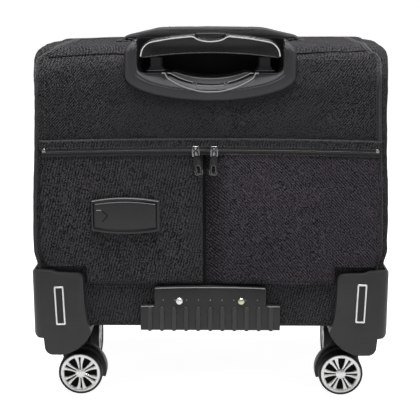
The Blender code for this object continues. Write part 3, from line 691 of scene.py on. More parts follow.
def ring_solid(name, rings, nx, nz, paint):
    """A dense closed solid through rings of (y, points), with a grid over each end."""
    count = 2 * (nx + nz)
    verts = [(x, y, z) for y, ring in rings for x, z in ring]
    faces = tube_faces(len(rings), count)
    for base, (y, ring) in ((0, rings[0]), ((len(rings) - 1) * count, rings[-1])):
        start = len(verts)
        for row in filled(ring, nx, nz, y):
            verts += row

        def index(i, j):
            if j == 0:
                return base + i
            if i == nx:
                return base + nx + j
            if j == nz:
                return base + 2 * nx + nz - i
            if i == 0:
                return base + (count - j) % count
            return start + (j - 1) * (nx - 1) + i - 1

        for j in range(nz):
            for i in range(nx):
                faces.append((index(i, j), index(i + 1, j), index(i + 1, j + 1), index(i, j + 1)))
    return add_mesh(name, verts, faces, paint)


def case_block(name, offset, y_front, step, paint):
    """The case as one dense solid, smaller all round by the offset."""
    nx, nz = round(0.40 / step), round(0.32 / step)
    rings = []
    roll_y, roll_z = BACK_ROLL_Y - offset, BACK_ROLL_Z - offset
    side_roll = max(0.0065 - offset, 0.0006)
    for turn in range(0, 91, 10):
        depth = roll_y * (1 - math.cos(math.radians(turn)))
        top = offset + roll_z * (1 - math.sin(math.radians(turn)))
        side = offset + side_roll - math.sqrt(max(side_roll**2 - max(side_roll - depth, 0) ** 2, 0))
        ring = frame_ring(side, top, side, SHELL_LOW.z, LOW_CORNER, nx, nz)
        rings.append((BACK_Y + offset + depth, ring))
    y = rings[-1][0]
    count = round((y_front - y) / step)
    ring = frame_ring(offset, offset, offset, SHELL_LOW.z, LOW_CORNER, nx, nz)
    rings += [(y + (y_front - y) * i / count, ring) for i in range(1, count + 1)]
    return ring_solid(name, rings, nx, nz, paint)


def top_seam_height(x):
    """The seam between the top gusset and the back droops to the left and climbs to the right."""
    return 0.4100 + 0.0045 * smoothstep(-0.19, -0.09, x) + 0.0055 * smoothstep(0.09, 0.19, x)


def shoulder_sink(x, z):
    """The top left shoulder hangs a little lower than the right one."""
    return 0.0026 * smoothstep(-0.085, -0.19, x) * smoothstep(0.36, TOP_Z, z)


def body_softness(place, normal):
    """How the fabric sags, folds and puckers, away from the moulded parts that hold it."""
    x, y, z = place
    reach = abs(x)
    free = smoothstep(FOLD_Z + 0.002, FOLD_Z + 0.03, z)
    top = smoothstep(0.5, 0.95, normal.z)
    back = smoothstep(0.4, 0.9, -normal.y)
    move = Vector((0, 0, -shoulder_sink(x, z)))
    side_free = free * (1 - top) * smoothstep(0.5, 0.9, abs(normal.x))
    waves = 0.0011 * ripple((x, y * 1.5, z * 0.6), 14) + 0.0006 * ripple(place, 45, 3)
    move += normal * side_free * waves
    slack = back * smoothstep(0.325, 0.345, z) * (0.0007 + 0.0012 * smoothstep(0.36, 0.40, z))
    move += normal * slack * ripple((x * 0.75, y, z * 2.6), 26, 5)
    if reach > 0.08 and y < -0.07:  # diagonal pulls that run from the shoulders to the bezel
        line = (z - 0.398) + 0.10 * (reach - 0.15)
        pull = math.sin(line * 620 + 2.0 * ripple(place, 18, 7) + reach * 40)
        fade = hill(line, 0, 0.026) * smoothstep(0.085, 0.11, reach) * smoothstep(0.2, 0.17, reach)
        move += normal * 0.00042 * pull * fade
    if y < -0.06 and reach > 0.06:  # the sunken seam between the top gusset and the back
        above = z - top_seam_height(x)
        groove, puff = math.exp(-((above / 0.0016) ** 2)), math.exp(-(((above + 0.0085) / 0.006) ** 2))
        move += normal * smoothstep(0.195, 0.17, reach) * (0.0011 * puff - 0.0014 * groove)
    if top > 0 and y > -0.08:
        move.z += top * 0.0008 * ripple((x, y, 0), 20, 9)
    move += normal * free * 0.00022 * ripple(place, 130, 2)
    # the upper sides puff out between the back and the lid, which hold them flat
    puffed = smoothstep(0.25, 0.36, z) * smoothstep(-0.112, -0.06, y) * smoothstep(0.072, 0.040, y)
    swell = 0.0042 + 0.0048 * smoothstep(-0.06, 0.01, y)
    move.x += math.copysign(swell, x) * puffed * smoothstep(0.02, 0.35, abs(normal.x))
    return move


def bezel_edge(inset):
    """The bezel's outline as seen from behind, pulled in by the inset."""
    half, shoulder, middle, steps = BEZEL_HIGH.x - inset, 0.020, 0.390, 14
    top = BEZEL_HIGH.z - inset - shoulder
    return (
        arc(half - shoulder, top, shoulder, 0, 90, steps)
        + arc(shoulder - half, top, shoulder, 90, 180, steps)
        + arc(0, middle, half, 180, 360, 4 * steps, radius_z=middle - BEZEL_LOW.z - inset)
    )


def make_body():
    shell = case_block("shell_fabric", 0.0, FRONT_WALL_Y, 0.0050, "shell")
    sculpt(shell, body_softness)
    repaint(shell, lambda c, n: c.z < POCKET_FOOT_Z and n.y < -0.5, "pocket_left")
    combine(shell, block("cut_lid", (-0.3, SEAM_Y - 0.0003, FOLD_Z), (0.3, 0.3, 0.6), "gusset"))
    combine(shell, case_block("cut_inside", WALL, FRONT_WALL_Y - WALL, 0.012, "lining"))
    # the cut faces of the bezel notch and of the strap slots take the near-black painted shade
    notch = [(x, max(z, 0.3815)) for x, z in bezel_edge(0.002)]
    combine(shell, prism("cut_notch", notch, -0.2, BEZEL_HIGH.y - 0.0012, "shade_black"))
    for sign in SIDES.values():
        middle = sign * (STRAP_HIGH.x - 0.002)
        low = (middle - 0.0027, STRAP_LOW.y - 0.0007, TOP_Z - 0.02)
        high = (middle + 0.0027, STRAP_HIGH.y + 0.0007, TOP_Z + 0.02)
        combine(shell, block("cut_slot", low, high, "shade_black"))
    soften(shell, 55)
    return done(shell, "root", "shell_fabric", "body_shell")


def lid_ring(inset, nx, nz, corner=0.006):
    return frame_ring(inset, inset, inset, LID_LOW.z, corner, nx, nz)


def make_lid():
    nx, nz, roll = 72, 44, 0.008
    edge_y = LID_FACE_Y - roll
    rings = [(SEAM_Y + (edge_y - SEAM_Y) * i / 4, lid_ring(0.0, nx, nz)) for i in range(5)]
    for turn in (15, 30, 45, 60, 75, 90):
        inset = roll * (1 - math.cos(math.radians(turn)))
        rings.append((edge_y + roll * math.sin(math.radians(turn)), lid_ring(inset, nx, nz)))
    lid = ring_solid("lid_fabric", rings, nx, nz, "shell")

    def softness(place, normal):
        x, y, z = place
        loose = smoothstep(SEAM_Y + 0.004, SEAM_Y + 0.016, y)
        move = normal * loose * (0.0006 * ripple(place, 24, 4) + 0.0002 * ripple(place, 120, 6))
        if normal.y > 0.6:
            move.y += 0.0006 * hill(x, 0, 0.21) * hill(z, 0.298, 0.14) - 0.0004
        move.z -= shoulder_sink(x, z)
        return move

    sculpt(lid, softness)
    inner = [(y, lid_ring(WALL, 36, 22, 0.008)) for y in (SEAM_Y - 0.01, LID_FACE_Y - WALL)]
    combine(lid, ring_solid("cut_tray", inner, 36, 22, "lining"))
    soften(lid, 55)
    return done(lid, "lid", "shell_fabric", "front_lid")


shell = make_body()
lid = make_lid()
SHELL_TREE, LID_TREE = surface(shell), surface(lid)


# ---------------------------------------------------------------- padded pieces
def inflate(target, voxel, cap):
    """Blows the piece up as cloth, moving no point further than the cap."""
    change(target, "REMESH", mode="VOXEL", voxel_size=voxel)
    settle(target)
    last_frame = 20
    rest = np.array([v.co for v in target.data.vertices])
    cloth = target.modifiers.new("Cloth", "CLOTH")
    cloth.settings.use_pressure = True
    cloth.settings.uniform_pressure_force = 4.0
    cloth.settings.effector_weights.gravity = 0
    cloth.settings.quality = 5
    cloth.settings.tension_stiffness = 25
    cloth.settings.bending_stiffness = 2
    cloth.point_cache.frame_start, cloth.point_cache.frame_end = 1, last_frame
    for frame_number in range(1, last_frame + 1):
        bpy.context.scene.frame_set(frame_number)
    settle(target)
    bpy.context.scene.frame_set(1)
    moved = np.array([v.co for v in target.data.vertices]) - rest
    length = np.linalg.norm(moved, axis=1, keepdims=True)
    moved *= np.minimum(1, cap / np.maximum(length, 1e-9))
    target.data.vertices.foreach_set("co", (rest + moved).ravel())
    change(target, "SUBSURF", levels=1, render_levels=1)
    return soften(settle(target))


def pad_outline(half, low, high, corner, steps=6):
    return (
        arc(half - corner, high - corner, corner, 0, 90, steps)
        + arc(corner - half, high - corner, corner, 90, 180, steps)
        + arc(corner - half, low + corner, corner, 180, 270, steps)
        + arc(half - corner, low + corner, corner, 270, 360, steps)
    )


def make_organiser():
    """The zipped organiser pocket on the lid: a gusseted pad with a rounded face."""
    low, high = ORGANISER_LOW, ORGANISER_HIGH
    inset, zip_z = 0.003, 0.352
    shape = pad_outline(high.x - inset, low.z + inset, high.z - inset, 0.022)
    pad = prism("organiser_pad", shape, low.y, high.y - 0.0052, "pocket_front", None)
    inflate(pad, 0.0050, 0.006)

    def face(place, normal):
        x, y, z = place
        move = Vector((0, 0, 0))
        if normal.y > 0.5:
            move.y -= 0.0016 * math.exp(-(((z - zip_z) / 0.0022) ** 2)) * smoothstep(0.158, 0.150, abs(x))
            move.y += 0.0007 * ripple((x, z, 0), 22, 11) * smoothstep(low.y, high.y, y)
        return move

    sculpt(pad, face)
    for vertex in pad.data.vertices:
        vertex.co.y = min(max(vertex.co.y, low.y), high.y + 0.003)
    return done(pad, "lid", "pocket_fabric", "front_pocket")


def make_divider():
    """The padded partition in front of the laptop sleeve, quilted in three rows."""
    low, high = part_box("laptop_divider")
    shape = pad_outline(high.x, low.z, high.z, 0.010)
    pad = prism("divider_pad", shape, low.y + 0.0012, high.y - 0.0012, "lining", None)
    inflate(pad, 0.0044, 0.003)

    def quilting(place, normal):
        depth = sum(math.exp(-(((place.z - z) / 0.003) ** 2)) for z in (0.16, 0.222, 0.284))
        return normal * (-0.0016 * depth * smoothstep(0.5, 0.9, abs(normal.y)))

    sculpt(pad, quilting)
    for vertex in pad.data.vertices:
        vertex.co = [min(max(value, least), most) for value, least, most in zip(vertex.co, low, high)]
    return done(pad, "root", "lining_fabric", "laptop_divider")


organiser = make_organiser()
divider = make_divider()


def panel(name, xs, zs, keep, height, base_y, paint):
    """A closed fabric panel over a grid of X and Z, standing a varying height off the back."""
    cells = {(i, j) for i in range(len(xs) - 1) for j in range(len(zs) - 1)
             if keep((xs[i] + xs[i + 1]) / 2, (zs[j] + zs[j + 1]) / 2)}
    verts, faces, index = [], [], {}

    def vert(i, j, front):
        key = (i, j, front)
        if key not in index:
            index[key] = len(verts)
            verts.append((xs[i], base_y - (height(xs[i], zs[j]) if front else 0.0), zs[j]))
        return index[key]

    for i, j in sorted(cells, key=lambda cell: cell[::-1]):
        corners = [(i, j), (i + 1, j), (i + 1, j + 1), (i, j + 1)]
        faces.append([vert(a, b, True) for a, b in corners])
        faces.append([vert(a, b, False) for a, b in corners[::-1]])
        for k, beside in enumerate(((i, j - 1), (i + 1, j), (i, j + 1), (i - 1, j))):
            if beside not in cells:
                start, end = corners[k], corners[(k + 1) % 4]
                faces.append([vert(*start, True), vert(*start, False), vert(*end, False), vert(*end, True)])
    return add_mesh(name, verts, faces, paint, 70)


def spaced(low, high, step):
    count = max(2, round((high - low) / step))
    return [low + (high - low) * i / count for i in range(count + 1)]


SEAM_X, SEAM_GAP = -0.0070, 0.0010  # where the pocket's two panels meet, and the gap on each side of it
POCKET_TOP = ZIP_Z + 0.0005
STEP_Z = 0.1672


def zip_rise(x):
    """The zip bows up a little towards the middle."""
    return 0.0006 - 0.0030 * (x / 0.196) ** 2


def pocket_side(z):
    """The panels stop short of the side piping, and are narrower between the housings."""
    return (half_width(z) - 0.0095) if z > STEP_Z else 0.1455


def edge_round(distance, radius):
    if distance >= radius:
        return 1.0
    return math.sqrt(max(0.0, 1 - (1 - max(distance, 0) / radius) ** 2))


def pocket_rim(x, z, side, radius):
    """Rounds the pocket down at its sides, its top and its foot."""
    return edge_round(min(side, POCKET_TOP + zip_rise(x) - z, z - POCKET_FOOT_Z), radius)


def pocket_skin(x, z, lift, rim):
    """The height of a pocket panel, tucked in below the zip and lightly crumpled."""
    tuck = 0.0010 * math.exp(-(((z - POCKET_TOP + 0.009) / 0.0018) ** 2))
    return 0.0009 + (lift - tuck) * rim + 0.00014 * ripple((x, 0, z), 160, 2)


def left_height(x, z):
    rim = pocket_rim(x, z, min(x + pocket_side(z), SEAM_X - SEAM_GAP - x), 0.0028)
    lift = 0.0036 + 0.0007 * ripple((x * 1.2, 0, z * 0.55), 30, 1)
    lift += 0.0012 * smoothstep(SEAM_X - 0.03, SEAM_X - 0.002, x) * hill(z, 0.22, 0.085)
    lift += 0.0006 * hill(z, 0.235, 0.07) * hill(x, -0.1, 0.1)
    label = hill(x, LABEL_X, 0.055) * hill(z, LABEL_Z, 0.034)  # the label holder presses it flat
    return pocket_skin(x, z, lift * (1 - label) + 0.0040 * label, rim)


def right_height(x, z):
    rim = pocket_rim(x, z, pocket_side(z) - x, 0.0028)
    from_seam = smoothstep(SEAM_X + 0.004, SEAM_X + 0.027, x)
    puff = hill(x, 0.055, 0.085) * hill(z, 0.222, 0.088)
    lift = 0.0006 + 0.0040 * from_seam + 0.0058 * puff * from_seam
    lift += 0.0006 * ripple((x * 1.1, 0, z * 0.8), 26, 6)
    crease = math.sin((x + z * 0.9) * 260 + 2.5 * ripple((x, 0, z), 14, 8))
    lift += 0.00035 * crease * hill(x, 0.05, 0.07) * hill(z, 0.285, 0.035)
    side = min(pocket_side(z) - x, x - SEAM_X - SEAM_GAP)
    return pocket_skin(x, z, lift, rim * edge_round(side, 0.002))


def make_pocket():
    """The back pocket's two panels. Their tops follow the bowed zip and their sides follow the case."""
    step, made = 0.0027, []
    zs = spaced(POCKET_LOW.z, POCKET_TOP + 0.0024, step)
    for side, start, end, height, nodes in (
        ("left", -0.2, SEAM_X - SEAM_GAP, left_height, ["rear_pocket_panel"]),
        ("right", SEAM_X + SEAM_GAP, 0.2, right_height, []),
    ):
        piece = panel(f"pocket_panel_{side}", spaced(start, end, step), zs,
                      lambda x, z: abs(x) < pocket_side(z) and z < POCKET_TOP + zip_rise(x),
                      height, BACK_Y + 0.0006, f"pocket_{side}")
        for vertex in piece.data.vertices:
            x, z = vertex.co.x, vertex.co.z
            limit, reach = POCKET_TOP + zip_rise(x), pocket_side(z)
            if z > limit - step * 0.5:
                vertex.co.z = limit
            if abs(x) > reach - step * 0.9:
                vertex.co.x = math.copysign(reach, x)
        made.append(done(piece, "root", "pocket_fabric", *nodes))
    return made


def flap_edges(x):
    """The lowest and highest Z of the flap over the zip."""
    return ZIP_Z + 0.0022 + zip_rise(x), ZIP_Z + 0.0138 + zip_rise(x)


def flap_height(x, z):
    low, high = flap_edges(x)
    rim = edge_round(min(z - low, high - z, 0.1962 - abs(x)), 0.0016)
    ridge = 0.0006 * math.exp(-(((high - 0.0016 - z) / 0.0012) ** 2))
    return 0.0012 + (0.0046 + ridge + 0.0003 * ripple((x, 0, z * 0.3), 60, 12)) * rim


def make_flap():
    """The folded band that covers the zip's upper tape."""
    xs, shares = spaced(-0.1965, 0.1965, 0.003), spaced(0.0, 1.0, 0.0714)
    verts = []
    for front in (True, False):
        for x in xs:
            low, high = flap_edges(x)
            for z in [low + (high - low) * share for share in shares]:
                verts.append((x, BACK_Y + 0.0006 - (flap_height(x, z) if front else 0.0), z))
    flap = add_mesh("zip_flap", verts, sheet_faces(len(shares) - 1, len(xs) - 1), "pocket_left", 70)
    return done(flap, "root", "pocket_fabric")


def make_seam_shade_strip():
    """A near-black strip at the bottom of the seam between the two panels: painted shade in the gap."""
    low = (SEAM_X - 0.0019, BACK_Y - 0.0012, POCKET_LOW.z + 0.001)
    tape = block("pocket_seam_shade", low, (SEAM_X + 0.0019, BACK_Y + 0.0005, POCKET_TOP), "shade_black")
    return done(tape, "root", "pocket_fabric")


pocket_left, pocket_right = make_pocket()
make_seam_shade_strip()
flap = make_flap()
BACK_TREE = surface(shell, pocket_left, pocket_right, flap)


# ---------------------------------------------------------------- handle bezel and grip
CUP_HALF, CUP_FLOOR, CUP_WALL_Y = 0.082, 0.3935, -0.0805
SCOOP = [  # (Y, half width, lowest Z) of the finger scoop, stepped like a shallow bowl
    (-0.125, 0.0590, 0.3672), (-0.1130, 0.0520, 0.3750), (-0.1108, 0.0500, 0.3785), (-0.1098, 0.0470, 0.3805),
    (-0.1040, 0.0440, 0.3845), (-0.1000, 0.0405, 0.3880), (CUP_WALL_Y, 0.0405, 0.3880),
]
SCOOP_TOP = 0.3942
BOWL_Z = 0.4352  # the top of the bowl around the grip's button


def scoop_edge(half, low, y, steps=40):
    rise = SCOOP_TOP - low
    radius = (half**2 + rise**2) / (2 * rise)
    spread = math.degrees(math.asin(half / radius))
    return [(x, y, z) for x, z in arc(0, low + radius, radius, 270 - spread, 270 + spread, steps)]


def make_bezel():
    rim_y = BACK_Y - 0.0003
    profile = [(0.0, BEZEL_HIGH.y), (0.0, rim_y), (0.0, -0.1070), (0.0006, -0.1086), (0.0032, -0.1106),
               (0.0062, -0.1119), (0.0090, -0.1126), (0.0120, BEZEL_LOW.y), (0.0135, BEZEL_LOW.y)]
    rings = [at_y(bezel_edge(inset), y) for inset, y in profile]
    notched = [[(x, y, max(z, 0.3803)) for x, y, z in ring] for ring in rings[:2]]
    bezel = loft("bezel", notched + rings[1:], "bezel")
    combine(bezel, prism("cut_cup", pad_outline(CUP_HALF, CUP_FLOOR, 0.5, 0.007), -0.3, CUP_WALL_Y))
    bowl = [scoop_edge(half, low, y) + at_y([(half, SCOOP_TOP + 0.004), (-half, SCOOP_TOP + 0.004)], y)
            for y, half, low in SCOOP]
    combine(bezel, loft("cut_scoop", bowl))
    for sign in SIDES.values():
        hole_x = sign * TUBE_X
        combine(bezel, block("cut_tube", (hole_x - 0.0096, -0.1001, 0.384), (hole_x + 0.0096, -0.0869, 0.41)))
    melt(bezel, 0.0009, 3)
    crease_x, crease_z, crease_drop = 0.0835, 0.398, 0.0235

    def lips(place, normal):
        """The face inside the crease leans back, and the skirt has a soft crease along half an ellipse, which
        runs on up the arms.
        """
        x, y, z = place
        move = Vector((0, 0, 0))
        below = (z - crease_z) / crease_drop if z < crease_z else 0
        if normal.y < -0.3 and y < -0.109:
            if abs(x) < 0.083:
                crease = crease_z - crease_drop * math.sqrt(1 - (x / crease_x) ** 2)
                move.y += 0.34 * min(max(z - crease, 0), 0.4 - crease)
            move.y += 0.0006 * math.exp(-(((math.hypot(x / crease_x, below) - 1.02) / 0.02) ** 2))
        return move

    sculpt(bezel, lips)
    for test, paint in (
        # the cup and the pit below the scoop get the near-black painted shade
        (lambda c, n: abs(c.x) < CUP_HALF + 0.0012 and c.z > CUP_FLOOR - 0.0006 and c.y > -0.1070, "shade_black"),
        (lambda c, n: abs(c.x) < 0.0410 and 0.3850 < c.z < CUP_FLOOR and c.y > -0.1015, "shade_black"),
        # faces above the crease that lean up get the paler painted highlight
        (lambda c, n: c.z > 0.372 and c.y < -0.1085 and n.z > 0.2 and n.y < -0.5, "face"),
        (lambda c, n: abs(c.x) < 0.0553 and math.hypot(c.x, c.z - 0.455) < 0.0812 and n.z > 0.4, "bowl"),
    ):
        repaint(bezel, test, paint)
    done(bezel, "root", "bezel_plastic", "handle_bezel")

    pieces = []
    tree = surface(bezel)
    # pale beads along the scoop's edges paint their highlights
    for half, low, y, radius in ((0.0543, 0.3726, BEZEL_LOW.y - 0.0002, 0.0008),
                                 (0.0478, 0.3800, -0.1106, 0.0005), (0.0425, 0.3865, -0.1020, 0.0007)):
        line, _ = on_surface(tree, scoop_edge(half, low, y, 60), 0.0)
        pieces.append(sweep("scoop_highlight", line, circle(radius, 8), (0, -1, 0), "edge"))
    for sign in SIDES.values():  # raised collars around the tubes
        outer, inner = [[(sign * TUBE_X + x, y) for x, y in pad_outline(*size)] for size in (
            (0.0122, -0.1030, -0.0840, 0.003), (0.0097, -0.1003, -0.0867, 0.002))]
        levels = ((outer, -0.0008), (outer, 0.0026), (inner, 0.0032), (inner, -0.0008))
        pieces.append(hoop("collar", [at_z(points, CUP_FLOOR + z) for points, z in levels], "bezel"))
        # a pale bead along each collar's top edge paints its highlight
        glint = [(sign * TUBE_X + x, -0.1029, CUP_FLOOR + 0.0024) for x in (-0.0095, -0.004, 0.002, 0.0095)]
        pieces.append(bead("collar_highlight", glint, 0.002, 0.0006, up=(0, 0, 1)))
    done(join("bezel_details", pieces), "root", "bezel_plastic")


def grip_top(steps=8):
    """The grip's top edge from its left end to the middle."""
    end = arc(-0.063, 0.4145, 0.016, 180, 100, steps)
    return end + [(-0.044, 0.43395), (-0.022, 0.4360), (-0.010, 0.43675)]


def grip_outline():
    low = [(0.079, 0.4120), (0.0775, 0.4105), (0.074, 0.4105), (0.060, 0.4121), (0.045, 0.4138),
           (0.022, 0.4151), (0, 0.4156)]
    top = grip_top()
    return top + [(0, 0.4370)] + mirrored(top[::-1]) + low + mirrored(low[:-1][::-1])


def button_dip(growth):
    """The bowl that the button sits in, as a line from left to right."""
    return arc(0, BOWL_Z, 0.0177 + growth, 192, 348, 18, radius_z=0.0060 + growth)


def make_grip():
    grip = prism("grip", grip_outline(), GRIP_LOW.y, GRIP_HIGH.y, "grip")
    above = 0.45
    well = arc(0, BOWL_Z, 0.0173, 180, 360, 24, radius_z=0.0056) + [(0.0173, above), (-0.0173, above)]
    combine(grip, prism("cut_well", well, -0.1107, -0.0870))
    front = arc(0, 0.4365, 0.0158, 180, 360, 20, radius_z=0.0044) + [(0.0158, above), (-0.0158, above)]
    combine(grip, prism("cut_front", front, -0.2, -0.1100))
    melt(grip, 0.00085, 4)

    def waist(place, normal):
        depth = 0.0012 * hill(place.z, 0.4235, 0.010) * smoothstep(0.076, 0.05, abs(place.x))
        return Vector((0, depth if normal.y < -0.4 else 0, 0))

    sculpt(grip, waist)
    done(grip, "trolley_inner", "grip_plastic", "handle_grip")

    # a paler bead along the grip's lower edge paints the highlight on its lip
    lip = [(-x, GRIP_LOW.y + 0.0002, z + 0.0009) for x, z in (
        (0.073, 0.4108), (0.060, 0.4122), (0.045, 0.4139), (0.022, 0.4152), (0, 0.4157))]
    lip += [(-x, y, z) for x, y, z in lip[:-1][::-1]]
    done(bead("grip_lip_highlight", lip, 0.003, 0.0005, "lip", 8), "trolley_inner", "grip_plastic")

    edge = [(-0.0780, 0.4122)] + [(x * 0.984, z - 0.0019) for x, z in grip_top(10)[1:-1]]
    bend = [(-0.0195, 0.43385), (-0.0185, 0.43345)]
    path = edge + bend + button_dip(0.0006)[1:-1] + mirrored(bend[::-1]) + mirrored(edge[::-1])
    section = [(-0.0009, -0.0004), (-0.0006, 0.0004), (0.0006, 0.0004), (0.0009, -0.0004),
               (0.0006, -0.0012), (-0.0006, -0.0012)]
    trim = sweep("grip_chrome", resample(at_y(path, -0.1115), 0.0012), section, (0, -1, 0), "bright",
                 sharp=60)
    done(trim, "trolley_inner", "bright_trim", "grip_trim")

    half, crown_z = 0.0160, 0.4371
    low = arc(0, crown_z, half, 180, 360, 24, radius_z=0.0044)
    crown = [(x, crown_z + 0.0005 * (1 - (x / half) ** 2)) for x in (0.012, 0.006, 0, -0.006, -0.012)]
    button = rounded(prism("button", low + crown, -0.1102, -0.0878, "grip"), 0.0007, 3)
    done(button, "grip_button", "grip_plastic", "grip_button")


make_bezel()
make_grip()


# ---------------------------------------------------------------- moulded corners, guard and label
def make_housing(name, sign, back):
    """A corner housing: a moulded shell around the case's lower corner, with a boss for the caster."""
    step = [(0.1580, 0.1598), (0.1800, 0.1606), (0.1862, 0.1634), (0.2060, 0.1640), (0.2100, 0.1610)]
    low = [(0.1485, 0.125), (0.1460, 0.102), (0.1410, 0.088), (0.1430, 0.0838), (0.1475, 0.077),
           (0.158, 0.067), (0.170, 0.061), (0.178, 0.060)]
    outline = low + arc(0.187, 0.070, 0.010, 275, 350, 6) + [(0.198, 0.081)]
    outline += arc(0.202, 0.089, 0.008, 285, 360, 6) + step[::-1] + arc(0.1570, 0.1520, 0.0078, 100, 180, 6)
    y_out, y_in = (-0.116, -0.046) if back else (0.101, 0.046)
    outline = [(sign * x, z) for x, z in outline]
    solid = prism("housing", outline, min(y_out, y_in), max(y_out, y_in), "housing")
    side, depth, corner = 0.210, abs(y_out), 0.012
    plan = [(side, 0.02)] + arc(side - corner, depth - corner, corner, 0, 90, 12)
    plan += [(0.12, depth), (0.12, 0.02)]
    ring = [(sign * x, math.copysign(y, y_out)) for x, y in plan]
    combine(solid, loft("mould", [at_z(ring, z) for z in (0.0, 0.2)]), "INTERSECT")
    rounded(solid, 0.0016, 3, 32, 60)
    room = pad_outline(SHELL_HIGH.x + 0.0006, SHELL_LOW.z - 0.0003, 0.3, 0.014)
    near, far = (-abs(BACK_Y) - 0.0003, 0.2) if back else (-0.2, FRONT_WALL_Y + 0.0003)
    combine(solid, prism("cut_case", room, near, far))
    seat = [(0, 0.05), (0.0185, 0.05), (0.0185, 0.0700), (0.0128, 0.0705), (0.0128, 0.0765), (0, 0.0765)]
    swivel = (sign * SWIVEL_X, SWIVELS["rear" if back else "front"], 0)
    combine(solid, lathe("cut_head", seat, 40, "fork", "Z", swivel))
    soften(solid, 50)
    return done(solid, "root", "housing_plastic", name)


def make_frame_trim(side, sign):
    """A slim leaning chrome frame with a dark recess."""
    lean = math.radians(1.8) * sign
    x_mid, z_mid = sign * 0.1772, (0.1215 if sign < 0 else 0.1250)

    def lay(points, y, wide=1, tall=1):
        return [(x_mid + x * wide * math.cos(lean) + z * tall * math.sin(lean), y,
                 z_mid + z * tall * math.cos(lean) - x * wide * math.sin(lean)) for x, z in points]

    outer = pad_outline(0.0058, -0.0238, 0.0238, 0.0016, 4)
    inner = pad_outline(0.0037, -0.0217, 0.0217, 0.0008, 4)
    rings = [lay(outer, -0.1161), lay(outer, -0.1168), lay(outer, -0.1173, 0.95, 0.99),
             lay(inner, -0.1173, 1.07, 1.01), lay(inner, -0.1168), lay(inner, -0.1161)]
    frame = hoop(f"chrome_frame_{side}", rings, "satin", 55)
    done(frame, "root", "bright_trim", f"corner_trim_{side}")
    plate = loft(f"frame_inset_{side}", [lay(inner, -0.1159), lay(inner, -0.1163)], "fork")
    done(plate, "root", "housing_plastic")


def make_guard():
    """The skid guard: a riveted plate above a row of stout ribs."""
    step_z, foot, wide, narrow, plate_y = 0.1210, GUARD_LOW.z, 0.0825, 0.0655, -0.1146
    arch = [(x, 0.1433 + 0.0012 * (1 - (x / narrow) ** 2))
            for x in (0.0640, 0.045, 0.022, 0, -0.022, -0.045, -0.0640)]
    outline = [(wide, foot + 0.001), (wide, step_z - 0.001), (0.0815, step_z), (narrow, step_z),
               (narrow, 0.1420)]
    outline += arch + mirrored(outline[::-1])
    pieces = [rounded(prism("guard_plate", outline, -0.1145, -0.1066, "guard"), 0.0009, 3, 30)]
    for k in range(-5, 6):
        x = k * 0.0143
        shape = [(x + u, z) for u, z in pad_outline(0.0029, 0.0901, 0.1200, 0.0028, 6)]
        pieces.append(rounded(prism("rib", shape, -0.1162, -0.1130, "rib"), 0.0013, 4, 40))
        for side in SIDES.values():
            # near-black strips beside each rib paint the shade in its grooves
            groove = x + side * 0.0031
            low, high = (groove - 0.0002, -0.1147, 0.0915), (groove + 0.0002, -0.1140, 0.1185)
            pieces.append(block("rib_shadow_strip", low, high, "grip"))
    dot = [(0, -0.1152), (0.0005, -0.1151), (0.0008, -0.1144)]
    for x in spaced(-0.0555, 0.0555, 0.0139):
        pieces.append(lathe("dot", dot, 10, "edge", "Y", (x, 0, 0.1283)))
    # pale beads along the plate's arched top and its two steps paint the highlights on those edges
    ends = [(-0.0645, 0.1424)], [(0.0645, 0.1424)]
    ledge_highlight = ends[0] + [(x, z - 0.0007) for x, z in arch[::-1]] + ends[1]
    pieces.append(bead("ledge_highlight", at_y(ledge_highlight, plate_y), 0.004, 0.0006, sides=8))
    for sign in SIDES.values():
        lip = [(sign * x, plate_y, step_z - 0.0006) for x in (0.0668, 0.0815)]
        pieces.append(bead("lip", lip, 0.002, 0.0006, sides=8))
    done(join("skid_guard_moulding", pieces), "root", "guard_plastic", "skid_guard")
    dome = [(0, -0.1173), (0.0018, -0.1172), (0.0030, -0.1167), (0.0039, -0.1160), (0.0042, -0.1151),
            (0.0042, -0.1146), (0, -0.1146)]
    for side, paint in (("left", "cap"), ("right", "brass")):
        rivet = lathe(f"rivet_{side}", dome, 36, paint, "Y", (SIDES[side] * 0.0364, 0, 0.127))
        done(rivet, "root", "rivet_metal", f"guard_rivet_{side}")


def label_edge(half, tall, crown):
    """The label holder's outline: straight ends, and a top and bottom that bow out."""
    top = [(LABEL_X + half * t, LABEL_Z + tall + crown * (1 - t * t)) for t in np.linspace(1, -1, 9)]
    return top + [(x, 2 * LABEL_Z - z) for x, z in top[::-1]]


